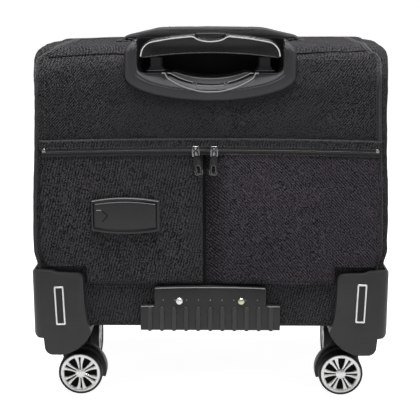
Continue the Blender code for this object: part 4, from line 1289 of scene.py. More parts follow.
def make_label():
    """A label holder: a thin outer ridge, a moat, and a raised panel with a thumb notch."""
    low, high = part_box("id_card")
    base = rounded(prism("label", label_edge(0.0393, 0.0177, 0.0036), -0.1142, -0.1113, "frame"), 0.0006, 2)
    room = (high.x + 0.0006, high.y + 0.0004, high.z + 0.0006)  # the card slides out to the left
    # the card slot's cut faces take the near-black painted shade
    combine(base, block("cut_slot", (low.x - 0.012, -0.2, low.z - 0.0006), room, "shade_black"))
    outer, inner = label_edge(0.0394, 0.0178, 0.0036), label_edge(0.0376, 0.0161, 0.0033)
    crest = [(LABEL_X + (x - LABEL_X) * 0.985, LABEL_Z + (z - LABEL_Z) * 0.97) for x, z in outer]
    foot_y, crest_y, panel_y = -0.1141, -0.1155, -0.1151
    rings = [at_y(outer, foot_y), at_y(outer, -0.1150), at_y(crest, crest_y), at_y(inner, crest_y),
             at_y(inner, foot_y)]
    pieces = [base, hoop("ridge", rings, "frame")]
    panel_edge = label_edge(0.0352, 0.0139, 0.0027)
    pieces.append(rounded(prism("panel", panel_edge, panel_y, -0.11425, "card"), 0.0005, 2))
    # pale beads along the ridge's and the panel's tops paint their highlights
    for size, y in (((0.0385, 0.0171, 0.0035), crest_y), ((0.0345, 0.0134, 0.0027), -0.1150)):
        pieces.append(bead("highlight", at_y(label_edge(*size)[:9], y), 0.003, 0.00045))
    # the thumb notch: near-black grooves that paint its shade, and a pale lip that paints its highlight
    corner = ((0.0268, 0.0058), (0.0205, 0), (0.0268, -0.0072))
    corner = [(LABEL_X - x, panel_y, LABEL_Z + z) for x, z in corner]
    groove = [(-0.0006, -0.0002), (0.0006, -0.0002), (0.0005, 0.0001), (-0.0005, 0.0001)]
    for stroke in (corner[:2], corner[1:]):
        pieces.append(sweep("notch", resample(stroke, 0.001), groove, (0, -1, 0), "shade_black"))
    dash = [(LABEL_X - x, panel_y, LABEL_Z + 0.0064) for x in (0.0335, 0.0280)]
    pieces.append(bead("notch_highlight", dash, 0.001, 0.0005))
    done(join("label_holder", pieces), "root", "label_frame", "id_holder")


for end_name, is_back in (("rear", True), ("front", False)):
    for side_name, side_sign in SIDES.items():
        make_housing(f"corner_housing_{end_name}_{side_name}", side_sign, is_back)
for side_name, side_sign in SIDES.items():
    make_frame_trim(side_name, side_sign)
make_guard()
make_label()


# ---------------------------------------------------------------- casters
TRAIL, WEB_HALF, WHEEL_INNER = 0.013, 0.0080, 0.0086


def tyre_mesh():
    """A rubber tyre about the Y axis. Its inner face is at 0 and its outer face at the highest Y."""
    outside = [(0.0135, 0.0), (0.0245, 0.0), (0.0257, 0.0004), (0.0266, 0.0014), (0.0270, 0.0030),
               (0.0270, 0.0050), (0.0266, 0.0053), (0.0266, 0.0059), (0.0270, 0.0062), (0.0270, 0.0088),
               (0.0268, 0.0104), (0.0263, 0.0120), (0.0257, 0.0131), (0.0252, 0.0135), (0.0251, 0.0130),
               (0.0251, 0.0080), (0.0135, 0.0080)]
    return lathe("tyre", outside, 72, "tyre", sharp=50, closed=True)


def cap_mesh(turn):
    """A wheel cap: a rim, a domed hub and six split spokes over a near-black dish that paints the shade
    behind them.
    """
    rim = [(0.0198, 0.0086), (0.0247, 0.0086), (0.02475, 0.0112), (0.0243, 0.0118), (0.0234, 0.0120),
           (0.0214, 0.0118), (0.0204, 0.0112), (0.0198, 0.0100)]
    hub = [(0, 0.0122), (0.0044, 0.0121), (0.0050, 0.0117), (0.0057, 0.0116), (0.0063, 0.0108),
           (0.0066, 0.0090), (0, 0.0090)]
    dish = [(0, 0.0087), (0.0212, 0.0087), (0.0212, 0.0081), (0, 0.0081)]
    pip = [(0, 0.0124), (0.0004, 0.0123), (0.0006, 0.0117)]
    spoke = ((0.0050, 0.0014, 0.0009, 0.0108), (0.0090, 0.0016, 0.0010, 0.0113),
             (0.0150, 0.0025, 0.0015, 0.0116), (0.0210, 0.0042, 0.0026, 0.0114))
    pieces = [lathe("rim", rim, 72, "cap", sharp=45, closed=True), lathe("hub", hub, 48, "cap", sharp=50),
              lathe("dish", dish, 48, "shade_black")]
    for k in range(6):
        angle = math.radians(60 * k + turn)
        outward_axis = Vector((math.sin(angle), 0, math.cos(angle)))
        across = Vector((math.cos(angle), 0, -math.sin(angle)))
        for side in (-1, 1):
            rings = []
            for r, middle, half, top in spoke:
                centre = outward_axis * r + across * (side * middle)
                profile = [(-half, 0.0086), (half, 0.0086), (half, top - 0.0005), (half * 0.55, top),
                           (-half * 0.55, top), (-half, top - 0.0005)]
                rings.append([centre + across * u + Vector((0, v, 0)) for u, v in profile])
            pieces.append(loft("spoke", rings, "cap", 35))
    for k in range(5):  # the small screws round the middle of the hub
        angle = math.radians(72 * k + turn)
        place = (0.0036 * math.sin(angle), 0, 0.0036 * math.cos(angle))
        pieces.append(lathe("pip", pip, 8, "bright", "Y", place))
    return join("cap", pieces)


def repaint_node(name, paint):
    """Gives a CAD node a better material."""
    target = bpy.data.objects[name]
    if not target.material_slots:
        target.data.materials.append(None)
    for slot in target.material_slots:
        slot.material = PAINT[paint]


def place_copy(name, source, matrix, body, slot, node):
    mesh = source.data.copy()
    mesh.transform(matrix)
    return done(add_object(name, mesh), body, slot, node)


def fork_side(sign):
    """The fork's web from the side of the axle, with the hood's edge and the neck."""
    hood = arc(TRAIL, 0, TYRE_RADIUS + 0.0038, -18, 118, 30)
    neck = [(-0.0070, 0.0306), (-0.0108, 0.0286), (-0.0115, 0.0235), (-0.0090, 0.0160), (-0.0040, 0.0091)]
    seat = arc(TRAIL, 0, 0.0095, 190, 322, 12)
    return [(sign * x, z + AXLE_Z) for x, z in hood + neck + seat]


def make_caster(end, side, shared):
    sign = SIDES[side]
    tag = f"{end}_{side}"
    fork = rounded(prism("fork", fork_side(-sign), -WEB_HALF, WEB_HALF, "fork"), 0.0010, 2, 40)
    bore = [(0, -0.03), (0.0032, -0.03), (0.0032, 0.03), (0, 0.03)]
    combine(fork, lathe("cut_axle", bore, 24, None, "Y", (-sign * TRAIL, 0, AXLE_Z)))
    pieces = [fork]
    for face in (-1, 1):  # a rim along the hood, on each face of the web
        hood = arc(TRAIL, 0, TYRE_RADIUS + 0.0022, 10, 112, 26)
        rib = [(-sign * x, face * (WEB_HALF - 0.0002), z + AXLE_Z) for x, z in hood]
        pieces.append(sweep("hood_rim", rib, circle(0.0006, 6), (0, face, 0), "fork"))
    head = [(0, 0.0545), (0.0150, 0.0545), (0.0160, 0.0550), (0.0164, 0.0558), (0.0164, 0.0580),
            (0.0158, 0.0588), (0.0148, 0.0592), (0.0125, 0.0594), (0.0118, 0.0600), (0.0118, 0.0690),
            (0.0112, 0.0700), (0.0112, 0.0742), (0, 0.0742)]
    ring = [(0.0120, 0.0597), (0.0136, 0.0597), (0.0138, 0.0600), (0.0136, 0.0603), (0.0120, 0.0603)]
    pin = [(0, -0.0084), (0.0012, -0.0084), (0.0017, -0.0080), (0.0017, 0.0080), (0.0012, 0.0084),
           (0, 0.0084)]
    pieces += [lathe("head", head, 56, "fork", "Z"), lathe("race", ring, 48, "steel", "Z", closed=True),
               lathe("pin", pin, 20, "steel", "Y", (-sign * 0.0015, 0, 0.0487))]
    turn = Matrix.Rotation(0 if end == "rear" else sign * math.pi / 2, 4, "Z")
    base = Matrix.Translation((sign * SWIVEL_X, SWIVELS[end], 0)) @ turn
    fork = join(f"fork_{tag}", pieces)
    fork.data.transform(base)
    done(fork, f"caster_{tag}", "fork_plastic", f"caster_fork_{tag}")
    hub = base @ Matrix.Translation((-sign * TRAIL, 0, AXLE_Z))
    for place, facing in (("outer", math.pi), ("inner", 0.0)):
        wheel = hub @ Matrix.Rotation(facing, 4, "Z") @ Matrix.Translation((0, WHEEL_INNER, 0))
        spot = f"{tag}_{place}"
        place_copy(f"rubber_{spot}", shared["tyre"], wheel, f"wheel_{spot}", "tyre_rubber", f"tyre_{spot}")
        place_copy(f"cap_{spot}", shared[side], wheel, f"wheel_{spot}", "cap_silver", f"hub_cap_{spot}")
    repaint_node(f"wheel_axle_{tag}", "steel")


shared_parts = {"tyre": tyre_mesh(), "left": cap_mesh(2), "right": cap_mesh(28)}
for end_name in SWIVELS:
    for side_name in SIDES:
        make_caster(end_name, side_name, shared_parts)
for part in shared_parts.values():
    bpy.data.objects.remove(part)
for tube in ("inner_tube", "middle_tube", "outer_tube"):
    for side_name in SIDES:
        repaint_node(f"{tube}_{side_name}", "tube")
for node_name, paint_name in (("tube_foot_bracket", "fork"), ("base_board", "board"), ("id_card", "card")):
    repaint_node(node_name, paint_name)


# ---------------------------------------------------------------- piping, seams and stitching
def side_line(sign, inset, z_low, z_high, count=60):
    """Points down the back's side edge, from high to low."""
    heights = [z_high + (z_low - z_high) * i / count for i in range(count + 1)]
    return [Vector((sign * (half_width(z) - inset), BACK_Y + 0.001, z)) for z in heights]


def make_piping():
    """A cord and a flat welt along each side of the back and over the top, and a cord around the lid."""
    corner_x, corner_z, bend_z, lift, radius = 0.1815, 0.4020, 0.0178, 0.0004, 0.0015
    welt_section = [(-0.0014, -0.0003), (0.0014, -0.0003), (0.0012, 0.0005), (0, 0.0007), (-0.0012, 0.0005)]
    for side, sign in SIDES.items():
        inset = 0.0085 if sign > 0 else 0.0012
        bend_x = half_width(0.39) - inset - corner_x
        turns = [math.radians(turn) for turn in range(10, 91, 10)]
        bend = [(sign * (corner_x + bend_x * math.sin(a)), BACK_Y + 0.004, corner_z + bend_z * math.cos(a))
                for a in turns]
        ridge = [(sign * 0.1740, y, TOP_Z) for y in np.linspace(-0.068, SEAM_Y - 0.006, 26)]
        top = [(sign * 0.1750, -0.078, TOP_Z), (sign * 0.1765, -0.0900, 0.4215)]
        path = resample(ridge[::-1] + top + bend + side_line(sign, inset, 0.158, 0.398), 0.004)
        places, normals = on_surface(SHELL_TREE, path, lift)
        cord = sweep(f"piping_{side}", places, circle(radius, 10), normals, "piping")
        done(cord, "root", "pocket_fabric")
        inside = [p + Vector((-sign * 0.0028, 0, 0)) for p in path]
        places, normals = on_surface(SHELL_TREE, inside, 0.0001)
        welt = sweep(f"piping_welt_{side}", places, welt_section, normals, "tape")
        done(welt, "root", "pocket_fabric")
    edge = at_y(lid_ring(0.0052, 90, 60), LID_FACE_Y)
    places, normals = on_surface(LID_TREE, resample(edge + edge[:1], 0.004)[:-1], lift)
    cord = sweep("piping_lid", places, circle(radius, 8), normals, "piping", closed=True)
    done(cord, "lid", "pocket_fabric")


def make_top_seam_shade():
    """A near-black cord in the sunken seam between the top gusset and the back panel: painted shade in the
    groove.
    """
    for side, sign in SIDES.items():
        line = [(x, BACK_Y + 0.010, top_seam_height(x)) for x in sign * np.linspace(0.097, 0.184, 24)]
        places, normals = on_surface(SHELL_TREE, resample(line, 0.003), 0.0002)
        seam = sweep(f"top_seam_{side}", places, circle(0.00075, 6), normals, "shade_black")
        done(seam, "root", "pocket_fabric")


def make_stitching():
    back = []
    for sign, low_z in ((-1, 0.4072), (1, 0.4092)):
        back.append([(sign * x, BACK_Y, low_z) for x in np.linspace(0.104, 0.176, 12)])
        back.append([(sign * x, BACK_Y + 0.002, low_z + 0.0066) for x in np.linspace(0.104, 0.170, 12)])
        edge = side_line(sign, 0.0075, 0.318, 0.392, 20)
        back.append([p + Vector((-sign * 0.0052, 0, 0)) for p in edge])
        back.append([(sign * x, -0.111, 0.1425) for x in np.linspace(0.084, 0.140, 10)])
    for above in (0.0132, 0.0046, -0.0042):
        back.append([(x, FACE_Y, ZIP_Z + above + zip_rise(x)) for x in np.linspace(-0.192, 0.192, 40)])
    back.append([(SEAM_X - 0.0032, FACE_Y, z) for z in np.linspace(0.150, 0.294, 14)])
    stitches("stitching_back", BACK_TREE, back, "root", "pocket_fabric")
    ring = at_y(lid_ring(0.0105, 90, 60), LID_FACE_Y)
    stitches("stitching_lid", LID_TREE, [ring + ring[:1]], "lid", "pocket_fabric")
    face, inset = ORGANISER_HIGH.y, 0.012
    sizes = ORGANISER_HIGH.x - inset, ORGANISER_LOW.z + inset, ORGANISER_HIGH.z - inset
    loop = at_y(pad_outline(*sizes, 0.018, 10), face)
    rows = [[(x, face, z) for x in np.linspace(-0.14, 0.14, 30)] for z in (0.3558, 0.3482)]
    stitches("stitching_organiser", surface(organiser), [loop + loop[:1]] + rows, "lid", "pocket_fabric")


# ---------------------------------------------------------------- zips
def teeth(name, path, normals, body, slot, pitch):
    """A row of zip coils: small rounded blocks set across the path."""
    verts, faces = [], []
    path = resample(path, pitch)
    for i in range(len(path) - 1):
        normal = normals[i] if isinstance(normals, list) else normals
        forward, across, up = axes(path[i + 1] - path[i], normal)
        centre = (path[i] + path[i + 1]) / 2
        base = len(verts)
        for w, h in ((-1, 0.55), (-0.6, 1.0), (0.6, 1.0), (1, 0.55), (1, 0), (-1, 0)):
            for t in (-0.34, 0.34):
                verts.append(centre + across * (w * 0.0013) + up * (h * 0.0011) + forward * (t * pitch))
        for k in range(0, 12, 2):
            m = (k + 2) % 12
            faces.append((base + k, base + k + 1, base + m + 1, base + m))
        faces += [range(base, base + 12, 2), range(base + 1, base + 12, 2)]
    return done(add_mesh(name, verts, faces, "coil", 50), body, slot)


def make_zip_slider(side):
    """A slider plate with a bail, on the back pocket's zip."""
    low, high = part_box(f"rear_zip_slider_{side}")
    x, base = (low.x + high.x) / 2, SLIDER_Y
    outline = [(-0.0043, -0.0050), (-0.0036, -0.0060), (0.0036, -0.0060), (0.0043, -0.0050), (0.0046, 0.0010),
               (0.0038, 0.0056), (0.0030, 0.0062), (-0.0030, 0.0062), (-0.0038, 0.0056), (-0.0046, 0.0010)]
    plate = prism("slider", [(x + u, ZIP_Z + w) for u, w in outline], base - 0.0018, base, "zip")
    rounded(plate, 0.0006, 2, 30)
    bail = [(x, base - out, ZIP_Z + z) for out, z in (
        (0.0014, -0.0040), (0.0036, -0.0037), (0.0046, -0.0024), (0.0049, 0), (0.0046, 0.0024),
        (0.0036, 0.0037), (0.0014, 0.0040))]
    section = [(-0.0009, -0.0004), (0.0009, -0.0004), (0.0009, 0.0003), (0.0004, 0.0006), (-0.0004, 0.0006),
               (-0.0009, 0.0003)]
    loop = sweep("bail", resample(bail, 0.0008), section, (1, 0, 0), "zip", sharp=60)
    done(join(f"slider_{side}", [plate, loop]), f"rear_slider_{side}", "zip_metal", f"rear_zip_slider_{side}")
    return x


def make_zip_pull(side, x, lean):
    """A lacquered pull tab with a bright-lipped hole, which hangs at a slight lean."""
    low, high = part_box(f"rear_zip_pull_{side}")
    y, half, thick = (low.y + high.y) / 2, 0.0044, 0.0007
    shape = [(0.0024, 0.0006), (0.0030, 0.0), (0.0030, -0.0060), (half, -0.0085), (half, -0.0252),
             (0.0032, -0.0268)]
    shape = [(x + u, ZIP_Z + v) for u, v in mirrored(shape) + shape[::-1]]
    tab = prism("pull", shape, y - thick, y + thick, "pull")
    combine(tab, block("cut_eye", (x - 0.0017, -0.2, ZIP_Z - 0.0056), (x + 0.0017, 0.0, ZIP_Z - 0.0005)))

    def slot(radius):
        return arc(x, ZIP_Z - 0.0180, radius, 0, 180, 8) + arc(x, ZIP_Z - 0.0232, radius, 180, 360, 8)

    combine(tab, prism("cut_hole", slot(0.0019), -0.2, 0.0))
    rounded(tab, 0.00035, 2, 40)
    lip = sweep("lip", at_y(slot(0.0024), y - thick), circle(0.0003, 6), (0, -1, 0), "zip", closed=True)
    foot = [(-half, -0.0215), (-half, -0.0252), (-0.0032, -0.0268)]
    foot = [(x + u, y - thick, ZIP_Z + v) for u, v in foot + mirrored(foot[::-1])]
    pieces = [tab, lip, bead("foot_glint", foot, 0.001, 0.0004, "zip")]
    for down in (0.0098, 0.0116, 0.0134):
        bar = block("bar", (x - 0.0026, y - 0.0010, ZIP_Z - down - 0.0004),
                    (x + 0.0026, y - 0.0005, ZIP_Z - down + 0.0004), "pull")
        pieces.append(rounded(bar, 0.0002, 1))
    pull = join(f"pull_{side}", pieces)
    hook = Matrix.Translation((x, y, ZIP_Z))
    pull.data.transform(hook @ Matrix.Rotation(lean, 4, "Y") @ hook.inverted())
    done(pull, f"rear_pull_{side}", "zip_metal", f"rear_zip_pull_{side}")


def make_rear_zip():
    low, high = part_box("rear_zip_tape")
    xs = spaced(low.x - 0.0030, high.x + 0.0030, 0.006)
    profile = [(-0.0050, -0.1100), (-0.0046, -0.1110), (-0.0012, -0.1112), (-0.0008, -0.1108)]
    profile += mirrored(profile[::-1]) + [(0.0048, -0.1065), (-0.0048, -0.1065)]
    rings = [[(x, y, ZIP_Z + zip_rise(x) + w) for w, y in profile] for x in xs]
    done(loft("zip_tape_rear", rings, "tape"), "root", "zip_tape", "rear_zip_tape")
    line = [(x, -0.11095, ZIP_Z + zip_rise(x)) for x in xs]
    teeth("zip_coil_rear", line, (0, -1, 0), "root", "zip_tape", 0.0019)
    for side, sign in SIDES.items():
        x = sign * (high.x + 0.0005)
        stop = block(f"zip_stop_{side}", (x - 0.002, -0.1122, ZIP_Z - 0.0018),
                     (x + 0.002, -0.1108, ZIP_Z + 0.0024), "zip")
        done(rounded(stop, 0.0005, 2), "root", "zip_metal")
    for side, lean in (("left", -0.15), ("right", 0.05)):
        make_zip_pull(side, make_zip_slider(side), lean)


def seam_path(y):
    """The lid's opening edge as three sides, from low right over the top to low left."""
    ring = frame_ring(0.0, 0.0, 0.0, SHELL_LOW.z, LOW_CORNER, 90, 80)
    points = [(x, y, z) for x, z in ring if z > LID_LOW.z + 0.004]
    right, left = [p for p in points if p[0] > 0], [p for p in points if p[0] <= 0]
    right.sort(key=lambda p: math.atan2(p[2] - 0.29, p[0]))
    left.sort(key=lambda p: math.atan2(p[2] - 0.29, p[0]) % (2 * math.pi))
    return right + left


def make_main_slider(side, sign):
    """A slider of the lid's zip: a plate, a pull tab with a hole, and an arch that holds it."""
    low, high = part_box(f"main_zip_slider_{side}")
    x = sign * 0.0085
    plan = [(-0.0058, -0.0034), (-0.0046, -0.0041), (0.0046, -0.0041), (0.0058, -0.0034), (0.0058, 0.0034),
            (0.0046, 0.0041), (-0.0046, 0.0041), (-0.0058, 0.0034)]
    levels = ((0.0, 0.94), (0.0004, 1.0), (0.0016, 1.0), (0.0021, 0.92))
    rings = [[(x + u * size, SEAM_Y + v * size, low.z + up) for u, v in plan] for up, size in levels]
    slider = loft("slider_plate", rings, "zip")
    near, far = x + sign * 0.001, x + sign * 0.0238
    tab = [(near, 0.0024), (near + sign * 0.006, 0.0034), (far - sign * 0.002, 0.0034), (far, 0.002)]
    tab = [(u, SEAM_Y + v) for u, v in [(u, -v) for u, v in tab] + tab[::-1]]
    pull = loft("slider_tab", [at_z(tab, high.z - down) for down in (0.0015, 0.0002)], "zip")
    rounded(pull, 0.0004, 2, 40)
    hole = [(far - sign * a, SEAM_Y + b) for a, b in (
        (0.0030, -0.0016), (0.0078, -0.0016), (0.0084, 0), (0.0078, 0.0016), (0.0030, 0.0016), (0.0024, 0))]
    combine(pull, loft("cut_hole", [at_z(hole, z) for z in (0.4, 0.5)]))
    foot_z = low.z + 0.0016
    bridge = [(x + sign * u, SEAM_Y, z) for u, z in (
        (-0.0034, foot_z), (-0.002, high.z), (0.002, high.z), (0.0034, foot_z))]
    section = [(-0.0011, -0.0003), (0.0011, -0.0003), (0.0011, 0.0003), (-0.0011, 0.0003)]
    arch = sweep("slider_arch", resample(bridge, 0.001), section, (0, 1, 0), "zip")
    slider = join(f"main_slider_piece_{side}", [slider, pull, arch])
    done(slider, f"main_slider_{side}", "zip_metal", f"main_zip_slider_{side}")


def make_main_zip():
    """Two zip tapes, one on the case and one on the lid, which part along the seam."""
    section = [(-0.0020, -0.0004), (0.0020, -0.0004), (0.0019, 0.0004), (0, 0.0006), (-0.0019, 0.0004)]
    for name, tree, body, away in (("case", SHELL_TREE, "root", -1), ("lid", LID_TREE, "lid", 1)):
        places, normals = on_surface(tree, resample(seam_path(SEAM_Y + away * 0.0026), 0.005), 0.0001)
        done(sweep(f"zip_tape_{name}", places, section, normals, "tape"), body, "zip_tape")
        pitch = 0.0023
        edge = resample(seam_path(SEAM_Y + away * (0.0026 - 0.0014)), pitch)
        line, normals = on_surface(tree, edge, 0.0002)
        teeth(f"zip_coil_{name}", line, normals + [normals[-1]] * 4, body, "zip_tape", pitch)
    for side, sign in SIDES.items():
        make_main_slider(side, sign)


# ---------------------------------------------------------------- carry handle
def make_carry_handle():
    """A padded webbing handle whose ends pass through slots in the top panel."""
    half = [(0.1060, 0.4045), (0.1060, 0.4240), (0.1052, 0.4262), (0.1030, 0.4280), (0.0990, 0.4296),
            (0.0880, 0.4320), (0.0740, 0.4352), (0.0640, 0.4374), (0.0560, 0.4380), (0.030, 0.4383),
            (0, 0.4384)]
    line = resample(at_y(half + mirrored(half[:-1][::-1]), 0), 0.003)
    last = len(line) - 1

    def section(t):
        pad = smoothstep(0.80, 0.60, abs(t - 0.5) * 2)
        thick, corner = 0.0017 + 0.0002 * pad, 0.0008 + 0.0012 * pad
        above = line[round(t * last)].z - 0.4258  # the space over the top panel
        low = -max(thick, min(thick + 0.0118 * pad, above))
        wide = STRAP_HIGH.y * (1 - 0.10 * pad)
        left = [(-wide + corner, thick), (-wide, thick - corner), (-wide, low + corner),
                (-wide + corner, low)]
        return left + mirrored(left[::-1]) + [(0, thick + 0.0003)]

    normals = []
    for i in range(last + 1):
        forward = (line[min(i + 1, last)] - line[max(i - 1, 0)]).normalized()
        normals.append(forward.cross(Vector((0, 1, 0))) * -1)
    if normals[last // 2].z < 0:
        normals = [-n for n in normals]
    strap = sweep("carry_strap", line, section, normals, "webbing", sharp=55)
    still = Vector((0, 0, 0))
    sculpt(strap, lambda c, n: n * (0.00035 * ripple(c, 55, 3)) if c.z > 0.428 else still)
    done(strap, "carry_handle", "webbing", "carry_handle")
    long, short = np.linspace(-0.052, 0.052, 16), np.linspace(-0.0085, 0.0085, 4)
    rows = [[(x, y, 0.443) for x in long] for y in (-0.0085, 0.0085)]
    rows += [[(x, y, 0.443) for y in short] for x in (-0.050, 0.050)]
    rows.append([(x, -0.013, 0.4375) for x in long])
    stitches("stitching_strap", surface(strap), rows, "carry_handle", "webbing", 0.0036, 0.0025, 0.0003)
    for side, sign in SIDES.items():  # a plate around each slot
        outer = pad_outline(0.0085, STRAP_LOW.y - 0.0045, STRAP_HIGH.y + 0.0045, 0.003)
        inner = pad_outline(0.0026, STRAP_LOW.y - 0.0007, STRAP_HIGH.y + 0.0007, 0.0006)
        crest = [(u * 0.93, v * 0.98) for u, v in outer]
        levels = ((outer, -0.0012), (outer, 0.0003), (crest, 0.0009), (inner, 0.0009), (inner, -0.0012))
        rings = [[(sign * 0.106 + u, v, TOP_Z + up) for u, v in points] for points, up in levels]
        done(hoop(f"strap_plate_{side}", rings, "gusset"), "root", "webbing")


make_piping()
make_top_seam_shade()
make_stitching()
make_rear_zip()
make_main_zip()
make_carry_handle()


# ---------------------------------------------------------------- inside and front
def slab(name, x_half, z_low, z_high, y_low, y_high, bow, across, rows):
    """A thin lining panel in X and Z, bowed towards its higher Y, with rounded corners and edges."""
    verts = []
    corner, z_half = 0.006, (z_high - z_low) / 2
    for front in (-0.5, 0.5):
        for v in [j / rows * 2 - 1 for j in range(rows + 1)]:
            for u in [i / across * 2 - 1 for i in range(across + 1)]:
                x, z = u * x_half, (z_low + z_high) / 2 + v * z_half
                near_corner = smoothstep(1 - corner / x_half * 1.4, 1, abs(u))
                fall = corner * (1 - math.sqrt(max(0, 1 - near_corner**2 * 0.5)))
                z -= math.copysign(fall, v) * abs(v) ** 8 * 3
                rim = edge_round(min((1 - abs(u)) * x_half, (1 - abs(v)) * z_half), 0.004)
                y = y_low + (y_high - y_low) * (0.5 + front * (0.25 + 0.75 * rim))
                y += bow * (1 - u * u) * (1 - v * v)
                verts.append((x, y + 0.0004 * ripple((x, y, z), 30, 3), z))
    return add_mesh(name, verts, sheet_faces(across, rows), "lining", 60)


def band(name, points, tree, width, body, paint="webbing", slot="webbing"):
    """A flat band laid along a surface."""
    lift, thick, half = 0.0003, 0.0007, width / 2
    places, normals = on_surface(tree, resample(points, 0.005), lift)
    section = [(-half, -thick * 0.4), (half, -thick * 0.4), (half, thick * 0.5), (half * 0.9, thick),
               (-half * 0.9, thick), (-half, thick * 0.5)]
    return done(sweep(name, places, section, normals, paint, sharp=60), body, slot)


def make_tube_cover():
    """The lining over the trolley's tubes inside the case."""
    cover = slab("tube_cover", 0.086, 0.1045, 0.3780, -0.0850, -0.0838, 0.0006, 30, 40)
    done(cover, "root", "lining_fabric")
    for side, sign in SIDES.items():
        x = sign * 0.0855
        wall = block(f"tube_cover_side_{side}", (x - 0.0006, -0.1018, 0.105), (x + 0.0006, -0.0845, 0.3775),
                     "lining")
        done(rounded(wall, 0.0004, 1), "root", "lining_fabric")
    front_y = -0.0835
    rows = [[(x, front_y, z) for z in np.linspace(0.110, 0.372, 30)] for x in (-0.0815, 0.0815)]
    rows.append([(x, front_y, 0.373) for x in np.linspace(-0.08, 0.08, 18)])
    stitches("stitching_cover", surface(cover), rows, "root", "lining_fabric")


def make_pack_straps():
    """Two straps with buckles over the padded divider, and the binding along its top."""
    tree = surface(divider)
    low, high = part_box("laptop_divider")
    y, buckle_z = high.y + 0.0012, 0.225
    outer, inner = pad_outline(0.0150, -0.0115, 0.0115, 0.003), pad_outline(0.0115, -0.0078, 0.0078, 0.0015)
    for side, sign in SIDES.items():
        x = sign * 0.095
        line = [(x, high.y + 0.002, z) for z in np.linspace(0.106, high.z - 0.006, 30)]
        band(f"pack_strap_{side}", line, tree, 0.022, "root")
        levels = ((outer, 0.0), (outer, 0.0022), (inner, 0.0022), (inner, 0.0))
        rings = [[(x + u, y + d, buckle_z + v) for u, v in points] for points, d in levels]
        buckle = hoop("buckle_frame", rings, "fork")
        bar = block("buckle_bar", (x - 0.0120, y + 0.0006, 0.2238), (x + 0.0120, y + 0.0024, 0.2262), "fork")
        rounded(bar, 0.0005, 2)
        done(join(f"pack_buckle_{side}", [buckle, bar]), "root", "housing_plastic")
    xs = np.linspace(low.x + 0.004, high.x - 0.004, 40)
    edge = [(x, (low.y + high.y) / 2, high.z + 0.004) for x in xs]
    places, normals = on_surface(tree, resample(edge, 0.005), -0.0012)
    section = [(-0.0030, -0.003), (0.0030, -0.003), (0.0030, 0.0004), (0.0016, 0.0012), (-0.0016, 0.0012),
               (-0.0030, 0.0004)]
    done(sweep("divider_binding", places, section, normals, "tape"), "root", "lining_fabric")


def make_lid_pocket():
    """A flat pocket on the lid's lining, bound along its top and stitched down the middle."""
    wall_y = LID_FACE_Y - WALL
    y = wall_y - 0.008
    pocket = slab("lid_pocket", 0.170, 0.186, 0.330, wall_y - 0.0052, wall_y - 0.0012, -0.0015, 40, 24)
    done(pocket, "lid", "lining_fabric")
    tree = surface(pocket)
    top = [(x, y, 0.3265) for x in np.linspace(-0.165, 0.165, 40)]
    band("lid_pocket_binding", top, tree, 0.009, "lid", "tape", "lining_fabric")
    rows = [[(x, y, 0.3205) for x in np.linspace(-0.162, 0.162, 40)],
            [(0.0, y, z) for z in np.linspace(0.192, 0.318, 20)]]
    stitches("stitching_lid_pocket", tree, rows, "lid", "lining_fabric")


def make_hinge_strip():
    """The fabric hinge below the lid: one band."""
    rows, columns, half, low_z, tall = 16, 60, 0.1965, 0.1575, 0.022
    verts = []
    for front in (0, 1):
        for j in range(rows + 1):
            z = low_z + tall * j / rows
            base_y = FRONT_WALL_Y + 0.0012 + (LID_FACE_Y - FRONT_WALL_Y) * smoothstep(0.163, 0.174, z)
            rim = edge_round(min(j, rows - j) / rows * tall, 0.0015)
            for x in [-half + 2 * half * i / columns for i in range(columns + 1)]:
                y = base_y + (0.0008 * rim if front else -0.0010)
                verts.append((x, y + 0.0003 * ripple((x, 0, z), 40, 5) * front, z))
    strip = add_mesh("hinge_strip", verts, sheet_faces(columns, rows), "gusset", 60)
    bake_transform(strip)


make_tube_cover()
make_pack_straps()
make_lid_pocket()
make_hinge_strip()


# ---------------------------------------------------------------- camera, light and floor
def area_light(name, place, target, size, power):
    data = bpy.data.lights.new(name, "AREA")
    data.shape = "RECTANGLE"
    data.size = data.size_y = size
    data.energy = power
    lamp = add_object(name, data)
    lamp.location = place
    lamp.rotation_euler = (Vector(target) - Vector(place)).to_track_quat("-Z", "Y").to_euler()


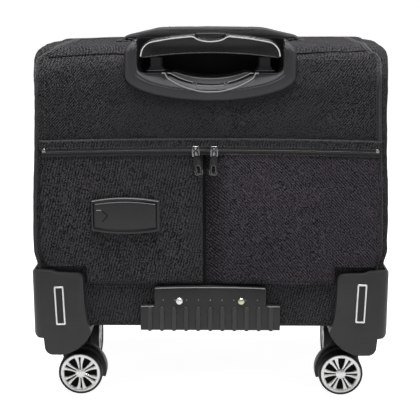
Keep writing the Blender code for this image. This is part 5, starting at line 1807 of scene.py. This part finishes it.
def make_world(backdrop, fill):
    """A white backdrop as the camera sees it, and a dimmer room as the light that reaches the case."""
    world = bpy.data.worlds.new("studio")
    world.use_nodes = True
    nodes, links = world.node_tree.nodes, world.node_tree.links
    seen = nodes["Background"]
    seen.inputs["Strength"].default_value = backdrop
    seen.inputs["Color"].default_value = (1, 1, 1, 1)
    room = nodes.new("ShaderNodeBackground")
    room.inputs["Strength"].default_value = fill
    room.inputs["Color"].default_value = (1, 1, 1, 1)
    mix = nodes.new("ShaderNodeMixShader")
    links.new(nodes.new("ShaderNodeLightPath").outputs["Is Camera Ray"], mix.inputs[0])
    links.new(room.outputs[0], mix.inputs[1])
    links.new(seen.outputs[0], mix.inputs[2])
    links.new(mix.outputs[0], nodes["World Output"].inputs["Surface"])
    bpy.context.scene.world = world


def make_floor():
    corners = [(-40, -40), (40, -40), (40, 40), (-40, 40)]
    floor = add_mesh("floor", [(x, y, -0.0002) for x, y in corners], [(0, 1, 2, 3)])
    settings = {"Roughness": 0.9, "Specular IOR Level": 0.05, "Emission Color": (1.0, 1.0, 1.0),
                "Emission Strength": 0.95}
    paint = Paint("floor_paper", **settings)
    paint.colour(paint.noise(3, 2), (0.3, (0.34, 0.34, 0.34)), (0.7, (0.38, 0.38, 0.38)))
    floor.data.materials.append(paint.material)


def make_camera():
    """A camera behind the case and a little above it, as in the photo."""
    target = Vector((-0.0003, -0.115, 0.2372))
    distance, turn, tilt = 1.15, math.radians(0.6), math.radians(12.7)
    frame_width = 0.48387097  # metres across the picture at the target
    back = Vector((math.sin(turn) * math.cos(tilt), -math.cos(turn) * math.cos(tilt), math.sin(tilt)))
    camera = add_object("camera", bpy.data.cameras.new("camera"))
    camera.location = target + back * distance
    camera.rotation_euler = (-back).to_track_quat("-Z", "Y").to_euler()
    camera.data.sensor_width = 36
    camera.data.lens = camera.data.sensor_width * distance / frame_width
    bpy.context.scene.camera = camera


bpy.context.scene.view_settings.view_transform = "Standard"
make_world(1.0, 0.16)
make_floor()
make_camera()
for lamp in (
    ("overhead", (0.05, -0.30, 1.7), (0, -0.08, 0.4), 0.9, 96),
    ("key", (1.0, -1.4, 1.3), (0, -0.1, 0.25), 0.7, 3.5),
    ("fill", (-1.3, -1.2, 0.9), (0, -0.1, 0.25), 0.8, 1.6),
    ("rim_left", (-1.5, -0.80, 0.50), (-0.1, -0.1, 0.3), 0.35, 2.0),
    ("rim_right", (1.5, -0.80, 0.55), (0.1, -0.1, 0.3), 0.35, 2.0),
):
    area_light(*lamp)
